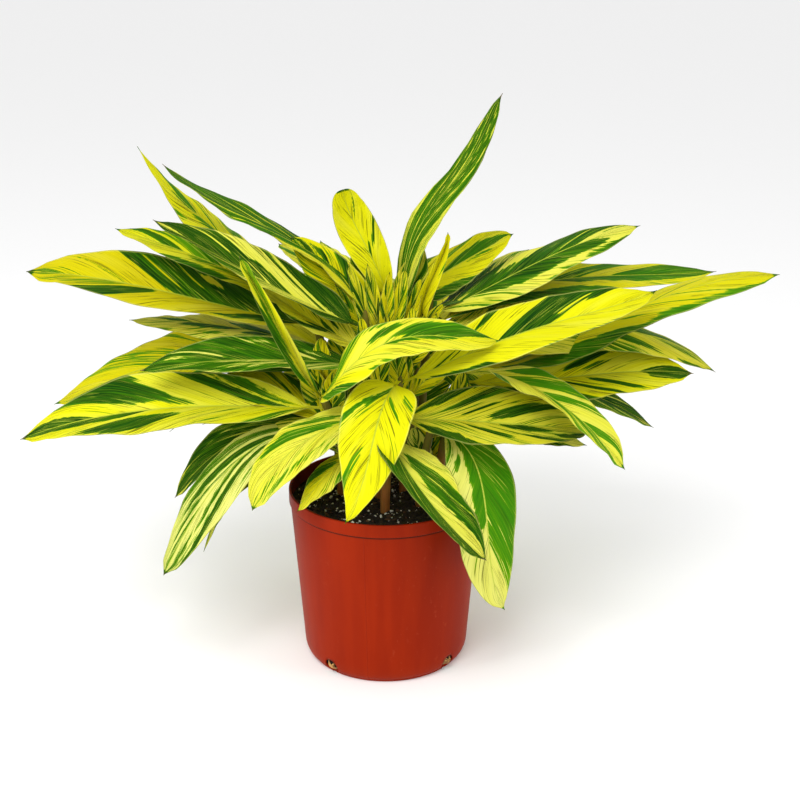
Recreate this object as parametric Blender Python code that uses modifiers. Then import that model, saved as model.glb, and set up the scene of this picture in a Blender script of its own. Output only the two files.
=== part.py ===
"""A potted variegated shell ginger: ten leafy canes standing in dark soil in a nursery pot.

Metres, +Z up, -Y towards the viewer. The origin is the middle of the pot's underside. The pot and
the soil are turned shapes. Each cane is a tapered tube that stands straight in a plain hole in the
soil and leans outwards above it, with its leaves fused to it by one Boolean union.
"""

import math
from collections import namedtuple

import bmesh
import bpy
import numpy as np

MM = 0.001
GAP = 0.0003

# Pot: an injection-moulded nursery pot, 255 mm across its rim
RIM_RADIUS = 0.1275
POT_HEIGHT = 0.236
WALL = 0.0018
LIP = 0.0030
BAND_HEIGHT = 0.018
WALL_TOP_RADIUS = 0.1256
WALL_FOOT_RADIUS = 0.1115
WALL_FOOT_HEIGHT = 0.034
FOOT_RADIUS = 0.103
FLOOR_TOP = 0.003
POT_SIDES = 36
DRAIN_COUNT = 4
DRAIN_FIRST_ANGLE = 229
DRAIN_RADIUS = 0.0085
DRAIN_HEIGHT = 0.0075
DRAIN_SLOPE = 35

# Soil: potting mix, a little higher in the middle than at the wall
SOIL_EDGE = 0.2185
SOIL_MIDDLE = 0.2245
HOLE_BOTTOM = 0.150

# Canes
CANE_RADIUS = 0.0062
CANE_TIP_RADIUS = 0.0042
STRAIGHT_TO = 0.235
CANE_STEPS = 7

# Leaves
LEAF_THICKNESS = 0.0008
STALK_SHARE = 0.07
STALK_HALF_WIDTH = 0.003
TIP_HALF_WIDTH = 0.0007
FLAT_TIP = 0.12
ROWS = 8
COLUMNS = 5
DROOP = 0.10
WAVE = 0.05
BLADE = (0.7, 0.8)

Cane = namedtuple("Cane", "foot top leaves")
Leaf = namedtuple("Leaf", "height spine width face fold blade", defaults=(BLADE,))

# Millimetres and degrees. A cane has the place of its foot, its top, and its leaves. A leaf has the
# height of its stalk on the cane, the points that its midrib runs through out to the tip, its
# width, the way its upper face looks, how far its halves fold up, and its outline if it is unusual.
UP = (0, 0, 1)
ROUND_TIPPED = (0.6, 0.45)
EVEN = (0.75, 0.75)
BLUNT = (0.7, 0.65)
LONG_TIPPED = (0.7, 1.5)
WIDE_BASED = (0.42, 1.0)
CANES = {
    "cane_front_left": Cane((-45, -20), (-80, -35, 375), [
        Leaf(355, [(-174, -40, 362), (-296, -44, 358), (-468, -30, 312)], 115, (-0.1, -0.4, 0.9), 21),
        Leaf(330, [(-158, 0, 366), (-246, 0, 362)], 86, (0.1, -0.3, 1), 18),
        Leaf(300, [(-154, -60, 320), (-216, -74, 266), (-282, -100, 154)], 70, (-0.5, -0.6, 0.6), -1),
        Leaf(330, [(-190, -20, 309), (-237, -20, 273), (-276, -20, 226)], 62, (-0.4, -0.5, 0.7), 21),
        Leaf(310, [(-120, -54, 332), (-160, -60, 298), (-202, -70, 246)], 55, (-0.5, -0.5, 0.7), 4),
        Leaf(290, [(-190, 0, 264), (-218, -10, 212), (-242, -20, 148)], 36, (-0.8, -0.3, 0.5), -4),
        Leaf(320, [(-172, 30, 328), (-244, 40, 306)], 40, (-0.1, -0.2, 1), 0),
        Leaf(370, [(-114, -74, 444), (-146, -74, 510), (-174, -60, 560)], 40, (0.2, -1, 0), 61),
        Leaf(375, [(-48, -84, 422), (14, -100, 468), (78, -100, 472), (140, -90, 464)], 75,
             (-0.4, -0.4, 0.8), 8),
    ]),
    "cane_left": Cane((-60, 35), (-95, 50, 470), [
        Leaf(440, [(-240, 50, 475), (-354, 50, 504), (-462, 50, 514)], 118, (0.2, -0.3, 0.9), 19),
        Leaf(370, [(-226, 60, 398), (-342, 74, 367), (-450, 80, 320)], 105, (-0.2, -0.3, 0.9), 12),
        Leaf(410, [(-222, 50, 442), (-338, 70, 442)], 75, (0.1, -0.1, 1), 0),
        Leaf(450, [(-188, 64, 504), (-268, 80, 534), (-354, 100, 558)], 80, (0.3, -0.3, 0.9), 16),
        Leaf(465, [(-175, 80, 524), (-241, 100, 573), (-322, 120, 662)], 82, (0.6, -0.2, 0.8), 0,
             LONG_TIPPED),
        Leaf(360, [(-200, 88, 400), (-306, 126, 370)], 70, UP, 14),
        Leaf(300, [(-84, 60, 345), (-102, 70, 395)], 70, (0, -1, 0.2), 14),
    ]),
    "cane_centre": Cane((-20, 5), (-25, 5, 475), [
        Leaf(400, [(-126, -20, 416), (-200, -34, 420), (-304, -50, 412)], 80, (0.1, -0.3, 0.9), 23),
        Leaf(450, [(-112, 0, 492), (-178, -10, 532), (-282, -20, 596)], 90, (0.5, -0.3, 0.8), 29),
        Leaf(465, [(-82, 40, 531), (-178, 54, 586), (-282, 70, 648)], 62, (0.5, -0.1, 0.9), 7),
        Leaf(420, [(-108, 14, 468), (-156, 20, 500)], 60, (0.4, -0.5, 0.8), 25),
    ]),
    "cane_tall": Cane((0, 55), (5, 60, 520), [
        Leaf(460, [(-76, 130, 498), (-150, 200, 514)], 80, (0.2, -0.2, 1), 11),
        Leaf(480, [(-48, 130, 488), (-92, 210, 516)], 60, (0.2, -0.1, 1), 6),
        Leaf(470, [(-2, 54, 494), (-31, 50, 560), (-52, 20, 625)], 54, (0.2, -1, 0), 19, ROUND_TIPPED),
        Leaf(505, [(32, 60, 560), (76, 52, 620), (124, 40, 693), (144, 30, 741)], 44, (-0.7, -0.6, 0.4), 0),
        Leaf(460, [(70, 112, 490), (118, 114, 519), (168, 100, 551)], 94, (-0.4, -0.4, 0.8), 4),
        Leaf(440, [(10, 238, 450), (16, 388, 400)], 90, UP, 18),
        Leaf(440, [(-20, 70, 500), (-32, 74, 560)], 50, (0, -1, 0.1), 20),
        Leaf(430, [(26, 64, 475), (46, 68, 545)], 46, (0, -1, 0.1), 20),
    ]),
    "cane_front": Cane((0, -55), (20, -65, 410), [
        Leaf(400, [(68, -74, 426), (140, -74, 458), (240, -70, 490), (330, -60, 518)], 110,
             (-0.3, -0.3, 0.9), 14),
        Leaf(405, [(2, -100, 392), (-14, -150, 352), (-46, -190, 268)], 95, (-0.2, -0.7, 0.7), 18,
             WIDE_BASED),
        Leaf(360, [(-78, -84, 344), (-116, -100, 324), (-162, -130, 258)], 75, (-0.3, -0.4, 0.9), 8),
        Leaf(310, [(-62, -94, 300), (-82, -110, 284), (-108, -120, 252)], 55, (-0.3, -0.2, 0.9), 3),
        Leaf(330, [(34, -166, 317), (65, -205, 289), (118, -254, 252)], 103, (0.5, -0.2, 0.9), 24),
        Leaf(352, [(106, -76, 355), (180, -80, 351), (256, -54, 338)], 110, (0, -0.4, 0.9), 20),
    ]),
    "cane_front_right": Cane((45, -30), (60, -48, 340), [
        Leaf(320, [(190, -50, 330), (256, -50, 312)], 70, (0, -0.1, 1), 5),
        Leaf(330, [(97, -68, 322), (121, -109, 241), (145, -145, 132)], 110, (0.6, -0.7, 0.4), 4,
             EVEN),
    ]),
    "cane_right": Cane((70, 5), (110, 0, 430), [
        Leaf(400, [(222, 0, 430), (322, 0, 481), (408, 0, 511), (494, 0, 522)], 98,
             (-0.5, -0.1, 0.9), -4, BLUNT),
        Leaf(390, [(188, -74, 396), (246, -104, 358), (291, -124, 311)], 84, (0.4, -0.2, 0.9), 19),
        Leaf(380, [(226, 4, 384), (308, 4, 392), (398, 10, 388)], 105, (-0.1, -0.4, 0.9), 11),
        Leaf(405, [(264, 20, 448), (344, 40, 430), (436, 50, 376)], 92, (0.3, -0.2, 1), -6),
        Leaf(350, [(270, 44, 348), (316, 50, 323), (360, 54, 296)], 60, (0.3, -0.2, 0.9), 10),
    ]),
    "cane_right_tall": Cane((45, 50), (60, 60, 490), [
        Leaf(470, [(66, 50, 508), (80, 50, 564)], 40, (-0.1, -1, -0.1), 71),
        Leaf(460, [(112, 90, 478), (154, 130, 500), (196, 170, 513)], 66, (-0.3, -0.1, 0.9), 3, BLUNT),
        Leaf(450, [(174, 70, 508), (256, 80, 544), (332, 90, 564)], 84, (-0.4, -0.3, 0.9), -1),
        Leaf(430, [(204, 90, 488), (328, 120, 490), (448, 140, 490)], 90, (0, -0.2, 1), 6),
        Leaf(430, [(204, 74, 460), (284, 90, 474)], 80, (-0.2, -0.3, 1), 9),
        Leaf(385, [(126, 46, 372), (214, 56, 340)], 75, (0.2, -0.6, 0.8), 9),
        Leaf(385, [(198, 90, 404), (316, 120, 360)], 75, UP, 14),
    ]),
    "cane_rear_left": Cane((-35, 75), (-55, 120, 400), [
        Leaf(390, [(-126, 300, 414), (-186, 450, 340)], 105, UP, 18),
        Leaf(370, [(-220, 208, 384), (-360, 288, 310)], 100, UP, 18),
        Leaf(340, [(-202, 120, 322), (-310, 136, 246)], 85, UP, 14),
        Leaf(320, [(-132, 208, 316), (-206, 304, 220)], 80, UP, 14),
        Leaf(300, [(-38, 240, 296), (-38, 366, 200)], 80, UP, 14),
        Leaf(300, [(-38, 100, 360), (-36, 110, 450)], 96, (0, -1, 0.2), 14),
    ]),
    "cane_rear_right": Cane((30, 85), (50, 130, 410), [
        Leaf(400, [(130, 308, 414), (196, 456, 330)], 105, UP, 18),
        Leaf(370, [(210, 226, 384), (344, 316, 310)], 100, UP, 18),
        Leaf(350, [(192, 124, 334), (302, 136, 250)], 85, UP, 14),
        Leaf(330, [(140, 214, 316), (220, 304, 220)], 80, UP, 14),
        Leaf(310, [(62, 234, 350), (82, 344, 270)], 75, UP, 14),
        Leaf(300, [(50, 108, 350), (64, 116, 440)], 88, (0, -1, 0.2), 14),
        Leaf(262, [(66, 94, 292), (102, 104, 334)], 74, (0, -1, 0.3), 10),
    ]),
}


def clear_scene():
    for obj in list(bpy.data.objects):
        bpy.data.objects.remove(obj)


def new_collection(name):
    collection = bpy.data.collections.new(name)
    bpy.context.scene.collection.children.link(collection)
    return collection


def material(name, colour, roughness, metallic=0.0):
    made = bpy.data.materials.new(name)
    made.use_nodes = True
    shader = made.node_tree.nodes["Principled BSDF"]
    shader.inputs["Base Color"].default_value = (*colour, 1)
    shader.inputs["Roughness"].default_value = roughness
    shader.inputs["Metallic"].default_value = metallic
    return made


def add_object(name, data, collection, finish=None):
    obj = bpy.data.objects.new(name, data)
    if finish:
        data.materials.append(finish)
    collection.objects.link(obj)
    return obj


def evaluated_mesh(obj):
    graph = bpy.context.evaluated_depsgraph_get()
    mesh = bpy.data.meshes.new_from_object(obj.evaluated_get(graph))
    points = bmesh.new()
    points.from_mesh(mesh)
    bmesh.ops.remove_doubles(points, verts=points.verts, dist=1e-6)
    points.to_mesh(mesh)
    points.free()
    return mesh


def turned(name, profile, collection, finish):
    """A solid turned about the Z axis from (radius, height) points, listed top to bottom outside."""
    mesh = bpy.data.meshes.new(name)
    steps = [(i, i + 1) for i in range(len(profile) - 1)]
    mesh.from_pydata([(radius, 0, height) for radius, height in profile], steps, [])
    obj = add_object(name, mesh, collection, finish)
    screw = obj.modifiers.new("turn", "SCREW")
    screw.steps = screw.render_steps = POT_SIDES
    screw.use_merge_vertices = True
    screw.merge_threshold = 1e-5
    return obj


def cylinder(name, radius, depth, collection, sides=12):
    mesh = bpy.data.meshes.new(name)
    shape = bmesh.new()
    bmesh.ops.create_cone(shape, cap_ends=True, segments=sides, radius1=radius, radius2=radius,
                          depth=depth)
    shape.to_mesh(mesh)
    shape.free()
    cutter = add_object(name, mesh, collection)
    cutter.hide_render = True
    cutter.display_type = "WIRE"
    return cutter


def cut(obj, cutter):
    boolean = obj.modifiers.new(cutter.name, "BOOLEAN")
    boolean.operation = "DIFFERENCE"
    boolean.object = cutter


def inner_wall_radius(height):
    """The pot wall's inside, which slopes evenly from its foot to its top."""
    share = (height - WALL_FOOT_HEIGHT) / (POT_HEIGHT - BAND_HEIGHT - WALL_FOOT_HEIGHT)
    return WALL_FOOT_RADIUS + share * (WALL_TOP_RADIUS - WALL_FOOT_RADIUS) - WALL


def floor_corner(gap):
    """The rounded inner corner between the pot's wall and its floor, kept a gap away."""
    return [
        (inner_wall_radius(WALL_FOOT_HEIGHT) - gap, WALL_FOOT_HEIGHT),
        (0.1076 - gap, 0.0150),
        (0.1046 - gap, 0.0084 + gap),
        (0.0960 - gap, FLOOR_TOP + gap),
        (0.0, FLOOR_TOP + gap),
    ]


def make_pot(parts, cutters):
    band_foot = POT_HEIGHT - BAND_HEIGHT
    inside = floor_corner(0)[::-1] + [
        (inner_wall_radius(band_foot), band_foot),
        (RIM_RADIUS - LIP - 0.0003, POT_HEIGHT - 0.0006),
        (RIM_RADIUS - LIP + 0.0004, POT_HEIGHT),
    ]
    outside = [
        (RIM_RADIUS - 0.0006, POT_HEIGHT),
        (RIM_RADIUS, POT_HEIGHT - 0.0008),
        (RIM_RADIUS, band_foot + 0.0018),
        (WALL_TOP_RADIUS + 0.0004, band_foot + 0.0003),
        (WALL_TOP_RADIUS, band_foot - 0.0010),
        (WALL_FOOT_RADIUS, WALL_FOOT_HEIGHT),
        (0.1101, 0.0150),
        (0.1078, 0.0070),
        (FOOT_RADIUS + 0.0006, 0.0036),
        (FOOT_RADIUS, 0.0010),
        (FOOT_RADIUS - 0.0009, 0.0),
        (0.0, 0.0),
    ]
    red = material("terracotta_plastic", (0.36, 0.035, 0.012), 0.42)
    pot = turned("pot", inside + outside, parts, red)
    for i in range(DRAIN_COUNT):
        angle = math.radians(DRAIN_FIRST_ANGLE + 360 / DRAIN_COUNT * i)
        hole = cylinder(f"drain_{i + 1}", DRAIN_RADIUS, 0.020, cutters)
        hole.location = (FOOT_RADIUS * math.cos(angle), FOOT_RADIUS * math.sin(angle), DRAIN_HEIGHT)
        hole.rotation_euler = (0, math.radians(90 + DRAIN_SLOPE), angle)
        cut(pot, hole)


def make_soil(parts, cutters):
    profile = [
        (0.0, SOIL_MIDDLE),
        (0.045, SOIL_MIDDLE - 0.0003),
        (0.090, SOIL_EDGE + 0.0025),
        (inner_wall_radius(SOIL_EDGE) - GAP - 0.0008, SOIL_EDGE + 0.0008),
        (inner_wall_radius(SOIL_EDGE) - GAP - 0.0002, SOIL_EDGE - 0.0030),
    ]
    soil = turned("soil", profile + floor_corner(GAP), parts, material("potting_soil", (0.02, 0.015, 0.012), 0.95))
    depth = SOIL_MIDDLE + 0.01 - HOLE_BOTTOM
    flat_to_corner = 1 / math.cos(math.pi / 12)
    for name, cane in CANES.items():
        hole = cylinder(f"hole_{name}", (CANE_RADIUS + GAP) * flat_to_corner, depth, cutters)
        hole.location = (cane.foot[0] * MM, cane.foot[1] * MM, HOLE_BOTTOM + depth / 2)
        cut(soil, hole)


def cane_point(cane, height):
    """A cane is upright to just above the soil, and from there leans out by height to the power 1.5."""
    foot = np.array(cane.foot) * MM
    top = np.array(cane.top) * MM
    lean = max(0.0, (height - STRAIGHT_TO) / (top[2] - STRAIGHT_TO)) ** 1.5
    return np.append(foot + (top[:2] - foot) * lean, height)


def make_tube(name, cane, collection):
    """The cane alone: a round tube that thins towards its top."""
    top = cane.top[2] * MM
    heights = [HOLE_BOTTOM + GAP, *np.linspace(STRAIGHT_TO, top, CANE_STEPS)]
    curve = bpy.data.curves.new(name, "CURVE")
    curve.dimensions = "3D"
    curve.bevel_depth = CANE_RADIUS
    curve.bevel_resolution = 2
    curve.use_fill_caps = True
    spline = curve.splines.new("POLY")
    spline.points.add(len(heights) - 1)
    for point, height in zip(spline.points, heights):
        point.co = (*cane_point(cane, height), 1)
        thinned = max(0.0, height - STRAIGHT_TO) / (top - STRAIGHT_TO)
        point.radius = 1 - thinned * (1 - CANE_TIP_RADIUS / CANE_RADIUS)
    path = add_object(name + "_path", curve, collection)
    mesh = evaluated_mesh(path)
    bpy.data.objects.remove(path)
    return mesh


def unit(vectors):
    return vectors / np.linalg.norm(vectors, axis=-1, keepdims=True)


def through(points, share):
    """The polynomial curve through the points, each at its share of the way along them."""
    steps = np.linalg.norm(np.diff(points, axis=0), axis=1)
    at = np.append(0, np.cumsum(steps)) / steps.sum()
    curve = np.zeros((len(share), 3))
    for i, point in enumerate(points):
        others = np.delete(at, i)
        curve += np.prod((share[:, None] - others) / (at[i] - others), axis=1)[:, None] * point
    return curve


def blade_half_width(share, width, blade):
    """A thin stalk, then b^rise (1 - b)^fall scaled to the leaf's width, b running along the blade."""
    rise, fall = blade
    along = np.clip((share - STALK_SHARE) / (1 - STALK_SHARE), 0, 1)
    widest = rise / (rise + fall)
    half = width / 2 * along**rise * (1 - along)**fall / (widest**rise * (1 - widest)**fall)
    return np.maximum(half, np.where(share < 0.5, STALK_HALF_WIDTH, TIP_HALF_WIDTH))


def leaf_surface(cane, leaf):
    """Rows of points across the midrib: a V of the fold's angle, with drooping and waved margins."""
    share = np.linspace(0, 1, ROWS)
    start = cane_point(cane, leaf.height * MM)
    spine = through(np.vstack([start, np.array(leaf.spine) * MM]), share)
    along = unit(np.gradient(spine, share, axis=0))
    face = np.array(leaf.face, float)
    up = unit(face - (along @ face)[:, None] * along)
    side = np.cross(along, up)
    half = blade_half_width(share, leaf.width * MM, leaf.blade)
    across = np.linspace(-1, 1, COLUMNS)
    fold = math.radians(leaf.fold) * np.clip((1 - share) / FLAT_TIP, 0, 1)
    wave = WAVE * np.sin(4 * math.pi * share)[:, None] * across**2 * np.sign(across)
    rise = np.abs(across) * np.sin(fold)[:, None] - DROOP * across**2 + wave
    flat = across * np.cos(fold)[:, None]
    reach = side[:, None] * flat[..., None] + up[:, None] * rise[..., None]
    return spine[:, None] + half[:, None, None] * reach


def make_blade(name, surface, collection, finish):
    """The surface as triangles, given its thickness by Solidify, so that both faces split alike."""
    rows, columns = surface.shape[:2]
    index = np.arange(rows * columns).reshape(rows, columns)
    a, b, c, d = (index[:-1, :-1], index[1:, :-1], index[1:, 1:], index[:-1, 1:])
    faces = np.concatenate([np.stack([a, b, c], -1).reshape(-1, 3), np.stack([a, c, d], -1).reshape(-1, 3)])
    mesh = bpy.data.meshes.new(name)
    mesh.from_pydata(surface.reshape(-1, 3).tolist(), [], faces.tolist())
    blade = add_object(name, mesh, collection, finish)
    solidify = blade.modifiers.new("thickness", "SOLIDIFY")
    solidify.thickness = LEAF_THICKNESS
    solidify.offset = 0


def make_cane(name, cane, parts, finish):
    """The tube and its leaves, joined by one union, then with the loose leaves removed."""
    leaves = new_collection(name + "_leaves")
    for number, leaf in enumerate(cane.leaves, 1):
        make_blade(f"{name}_leaf_{number}", leaf_surface(cane, leaf), leaves, finish)
    stem = add_object(name, make_tube(name, cane, parts), parts, finish)
    union = stem.modifiers.new("leaves", "BOOLEAN")
    union.operation = "UNION"
    union.operand_type = "COLLECTION"
    union.collection = leaves
    joined = evaluated_mesh(stem)
    stem.modifiers.remove(union)
    stem.data = joined
    joined.name = name
    for obj in list(leaves.objects):
        bpy.data.objects.remove(obj)
    bpy.data.collections.remove(leaves)
    joined.shade_smooth()
    joined.set_sharp_from_angle(angle=math.radians(40))


def main():
    clear_scene()
    parts = new_collection("potted_variegated_ginger")
    cutters = new_collection("cutters")
    make_pot(parts, cutters)
    make_soil(parts, cutters)
    leaf_green = material("variegated_leaf", (0.45, 0.50, 0.02), 0.35)
    for name, cane in CANES.items():
        make_cane(name, cane, parts, leaf_green)


main()
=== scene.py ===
"""A potted variegated shell ginger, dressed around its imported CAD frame.

Metres, +Z up, -Y towards the viewer, in the frame's own axes. The origin is the middle of the pot's
underside. The pot comes first, then what it holds, then each cane with its leaves, then the room.
"""

import math
from collections import namedtuple

import bpy
import numpy as np
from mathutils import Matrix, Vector


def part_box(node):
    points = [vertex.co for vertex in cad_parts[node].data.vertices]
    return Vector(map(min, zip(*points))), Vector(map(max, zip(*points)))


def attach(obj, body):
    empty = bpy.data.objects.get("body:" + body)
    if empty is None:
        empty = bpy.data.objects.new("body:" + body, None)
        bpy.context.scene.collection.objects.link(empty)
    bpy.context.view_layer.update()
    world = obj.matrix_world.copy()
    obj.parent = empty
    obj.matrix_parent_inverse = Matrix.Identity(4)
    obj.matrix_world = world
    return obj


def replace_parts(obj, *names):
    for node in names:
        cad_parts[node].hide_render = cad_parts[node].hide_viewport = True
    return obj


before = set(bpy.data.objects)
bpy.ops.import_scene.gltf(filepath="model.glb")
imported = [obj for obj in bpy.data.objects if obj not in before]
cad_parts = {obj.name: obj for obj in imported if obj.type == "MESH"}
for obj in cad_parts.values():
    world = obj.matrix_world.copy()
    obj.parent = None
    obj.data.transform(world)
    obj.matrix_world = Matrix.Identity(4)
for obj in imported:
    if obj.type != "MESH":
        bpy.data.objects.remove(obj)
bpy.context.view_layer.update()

# Pot
# A round tapered nursery pot, injection moulded in red-brown plastic: a flat raised band under the
# rim, a plain wall with a faint mould seam, a rounded foot and four drain holes cut across the foot.

POT_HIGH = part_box("pot")[1]
RIM_RADIUS = POT_HIGH.x
POT_HEIGHT = POT_HIGH.z
POT_WALL = 0.0018
POT_LIP = 0.0030
BAND_FOOT = POT_HEIGHT - 0.018
INNER_FLOOR = 0.003
POLE_RADIUS = 0.0005
WALL_TOP_RADIUS = 0.1256
WALL_FOOT_RADIUS = 0.1115
WALL_FOOT_HEIGHT = 0.034
FOOT_RADIUS = 0.103
POT_SEGMENTS = 144
DRAIN_COUNT = 4
DRAIN_FIRST_ANGLE = 229
DRAIN_RADIUS = 0.0112
DRAIN_HEIGHT = 0.0124
DRAIN_SLOPE = math.radians(35)
DRAIN_CUT = 0.010
DRAIN_SIDES = 32
SEAM_ANGLE = math.radians(-102)
POT_RED = (0.275, 0.017, 0.0012)
POT_RED_WORN = (0.340, 0.055, 0.025)
POT_RED_DEEP = (0.205, 0.010, 0.001)
POT_PAINTED_SHADE = (0.035, 0.009, 0.005)


class Value:
    """A shader socket that adds its own Math nodes, so that shader sums read as plain formulas."""

    def __init__(self, finish, socket):
        self.finish = finish
        self.socket = socket

    def maths(self, operation, first, second=0.0):
        return self.finish.node("ShaderNodeMath", {"operation": operation}, {0: first, 1: second})

    def __add__(self, other):
        return self.maths("ADD", self, other)

    def __sub__(self, other):
        return self.maths("SUBTRACT", self, other)

    def __rsub__(self, other):
        return self.maths("SUBTRACT", other, self)

    def __mul__(self, other):
        return self.maths("MULTIPLY", self, other)

    def __abs__(self):
        return self.maths("ABSOLUTE", self)

    __radd__ = __add__
    __rmul__ = __mul__

    def over(self, low, high):
        """0 where the value is at most low, 1 where it is at least high, and smooth between."""
        settings = {"interpolation_type": "SMOOTHSTEP"}
        return self.finish.node("ShaderNodeMapRange", settings, {0: self, 1: low, 2: high})


class Finish:
    """A material on a Principled shader. One method, node, adds every other node to it."""

    def __init__(self, name, **constants):
        self.material = bpy.data.materials.new(name)
        self.material.use_nodes = True
        self.shader = self.material.node_tree.nodes["Principled BSDF"]
        for socket, constant in constants.items():
            self.shader.inputs[socket.replace("_", " ")].default_value = constant

    def node(self, kind, settings=None, sockets=None, output=0):
        """Adds a node of a type, with its settings first and then the values of its sockets."""
        made = self.material.node_tree.nodes.new(kind)
        for name, setting in (settings or {}).items():
            setattr(made, name, setting)
        for name, value in (sockets or {}).items():
            self.feed(made.inputs[name], value)
        return Value(self, made.outputs[output])

    def feed(self, socket, value):
        if isinstance(value, Value):
            self.material.node_tree.links.new(value.socket, socket)
        elif socket.type == "RGBA":
            socket.default_value = (*value, 1)
        else:
            socket.default_value = value

    def mix(self, share, first, second):
        """The first colour, going over to the second as the share goes from 0 to 1."""
        settings = {"data_type": "RGBA"}
        return self.node("ShaderNodeMix", settings, {0: share, 6: first, 7: second}, output=2)

    def place(self):
        """Where a point lies, in its object's own coordinates."""
        return self.node("ShaderNodeTexCoord", output=3)

    def mark(self, name):
        """The vector that the mesh carries at its points under this name."""
        return self.node("ShaderNodeAttribute", {"attribute_name": name}, output=1)

    def noise(self, place, scale=1.0, detail=2.0, roughness=0.5, squeeze=(1, 1, 1)):
        """Noise of about 0.3 to 0.7 at a place, which is first squeezed along each axis."""
        squeezed = self.node("ShaderNodeVectorMath", {"operation": "MULTIPLY"}, {0: place, 1: squeeze})
        sockets = {"Vector": squeezed, "Scale": scale, "Detail": detail, "Roughness": roughness}
        return self.node("ShaderNodeTexNoise", None, sockets)

    def parts(self, vector):
        """The three numbers of a vector."""
        split = self.node("ShaderNodeSeparateXYZ", None, {0: vector})
        return [Value(self, output) for output in split.socket.node.outputs]

    def show(self, colour, roughness, height, distance):
        """Sets what varies: the colour, the roughness, and a relief of the given depth in metres."""
        self.feed(self.shader.inputs["Base Color"], colour)
        self.feed(self.shader.inputs["Roughness"], roughness)
        bump = self.node("ShaderNodeBump", None, {"Height": height, "Distance": distance})
        self.feed(self.shader.inputs["Normal"], bump)


def skin(rings):
    """A closed skin over rings of points, of shape (rings, points, 3), with each end drawn together
    in a pole at its middle. Its faces are turned to look outwards, by the sign of the volume."""
    count, around = rings.shape[:2]
    points = np.concatenate([rings.reshape(-1, 3), rings[:1].mean(1), rings[-1:].mean(1)])
    index = np.arange(count * around).reshape(count, around)
    beside = np.roll(index, -1, axis=1)
    quads = np.stack([index[:-1], index[1:], beside[1:], beside[:-1]], -1).reshape(-1, 4)
    foot = np.full(around, count * around)
    first = np.stack([foot, index[0], beside[0], beside[0]], -1)
    last = np.stack([foot + 1, beside[-1], index[-1], index[-1]], -1)
    corners = points[quads]
    volume = np.einsum("ij,ij->", corners[:, 0], np.cross(corners[:, 1], corners[:, 2]))
    volume += np.einsum("ij,ij->", corners[:, 0], np.cross(corners[:, 2], corners[:, 3]))
    faces = np.concatenate([quads, first, last])
    return points, faces if volume > 0 else faces[:, ::-1]


def new_piece(name, skins, finishes, smooth_angle=60, kinds=None, marks=None):
    """One mesh object from (points, faces) skins. A face whose corners repeat is a triangle. Kinds
    gives each skin's material, and marks gives named vectors at the points."""
    starts = np.cumsum([0] + [len(points) for points, _ in skins])
    points = np.concatenate([points for points, _ in skins])
    faces = np.concatenate([faces + start for (_, faces), start in zip(skins, starts)])
    listed = [list(dict.fromkeys(face)) for face in faces.tolist()]
    mesh = bpy.data.meshes.new(name)
    mesh.from_pydata(points.tolist(), [], listed)
    for finish in finishes:
        mesh.materials.append(finish.material)
    if kinds is not None:
        sizes = [len(faces) for _, faces in skins]
        mesh.polygons.foreach_set("material_index", np.repeat(kinds, sizes).astype(np.int32))
    for mark, vectors in (marks or {}).items():
        layer = mesh.attributes.new(mark, "FLOAT_VECTOR", "POINT")
        layer.data.foreach_set("vector", np.concatenate(vectors).astype(np.float32).ravel())
    mesh.shade_smooth()
    mesh.set_sharp_from_angle(angle=math.radians(smooth_angle))
    obj = bpy.data.objects.new(name, mesh)
    bpy.context.scene.collection.objects.link(obj)
    return obj


def turned(profile, segments):
    """Rings about the Z axis, one for each (radius, height) of the profile."""
    angle = np.linspace(0, 2 * math.pi, segments, endpoint=False)
    radius, height = np.array(profile).T[:, :, None]
    level = height + 0 * angle
    return np.stack([radius * np.cos(angle), radius * np.sin(angle), level], -1)


def inner_wall_radius(height):
    """The inside of the wall, which slopes evenly from its foot to its top."""
    share = (height - WALL_FOOT_HEIGHT) / (BAND_FOOT - WALL_FOOT_HEIGHT)
    return WALL_FOOT_RADIUS + share * (WALL_TOP_RADIUS - WALL_FOOT_RADIUS) - POT_WALL


def bend(centre, radius, start, end, steps=5):
    """Points on an arc of a profile, in degrees from straight out, turning upwards."""
    angle = np.radians(np.linspace(start, end, steps))
    return [(centre[0] + radius * math.cos(a), centre[1] + radius * math.sin(a)) for a in angle]


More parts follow.
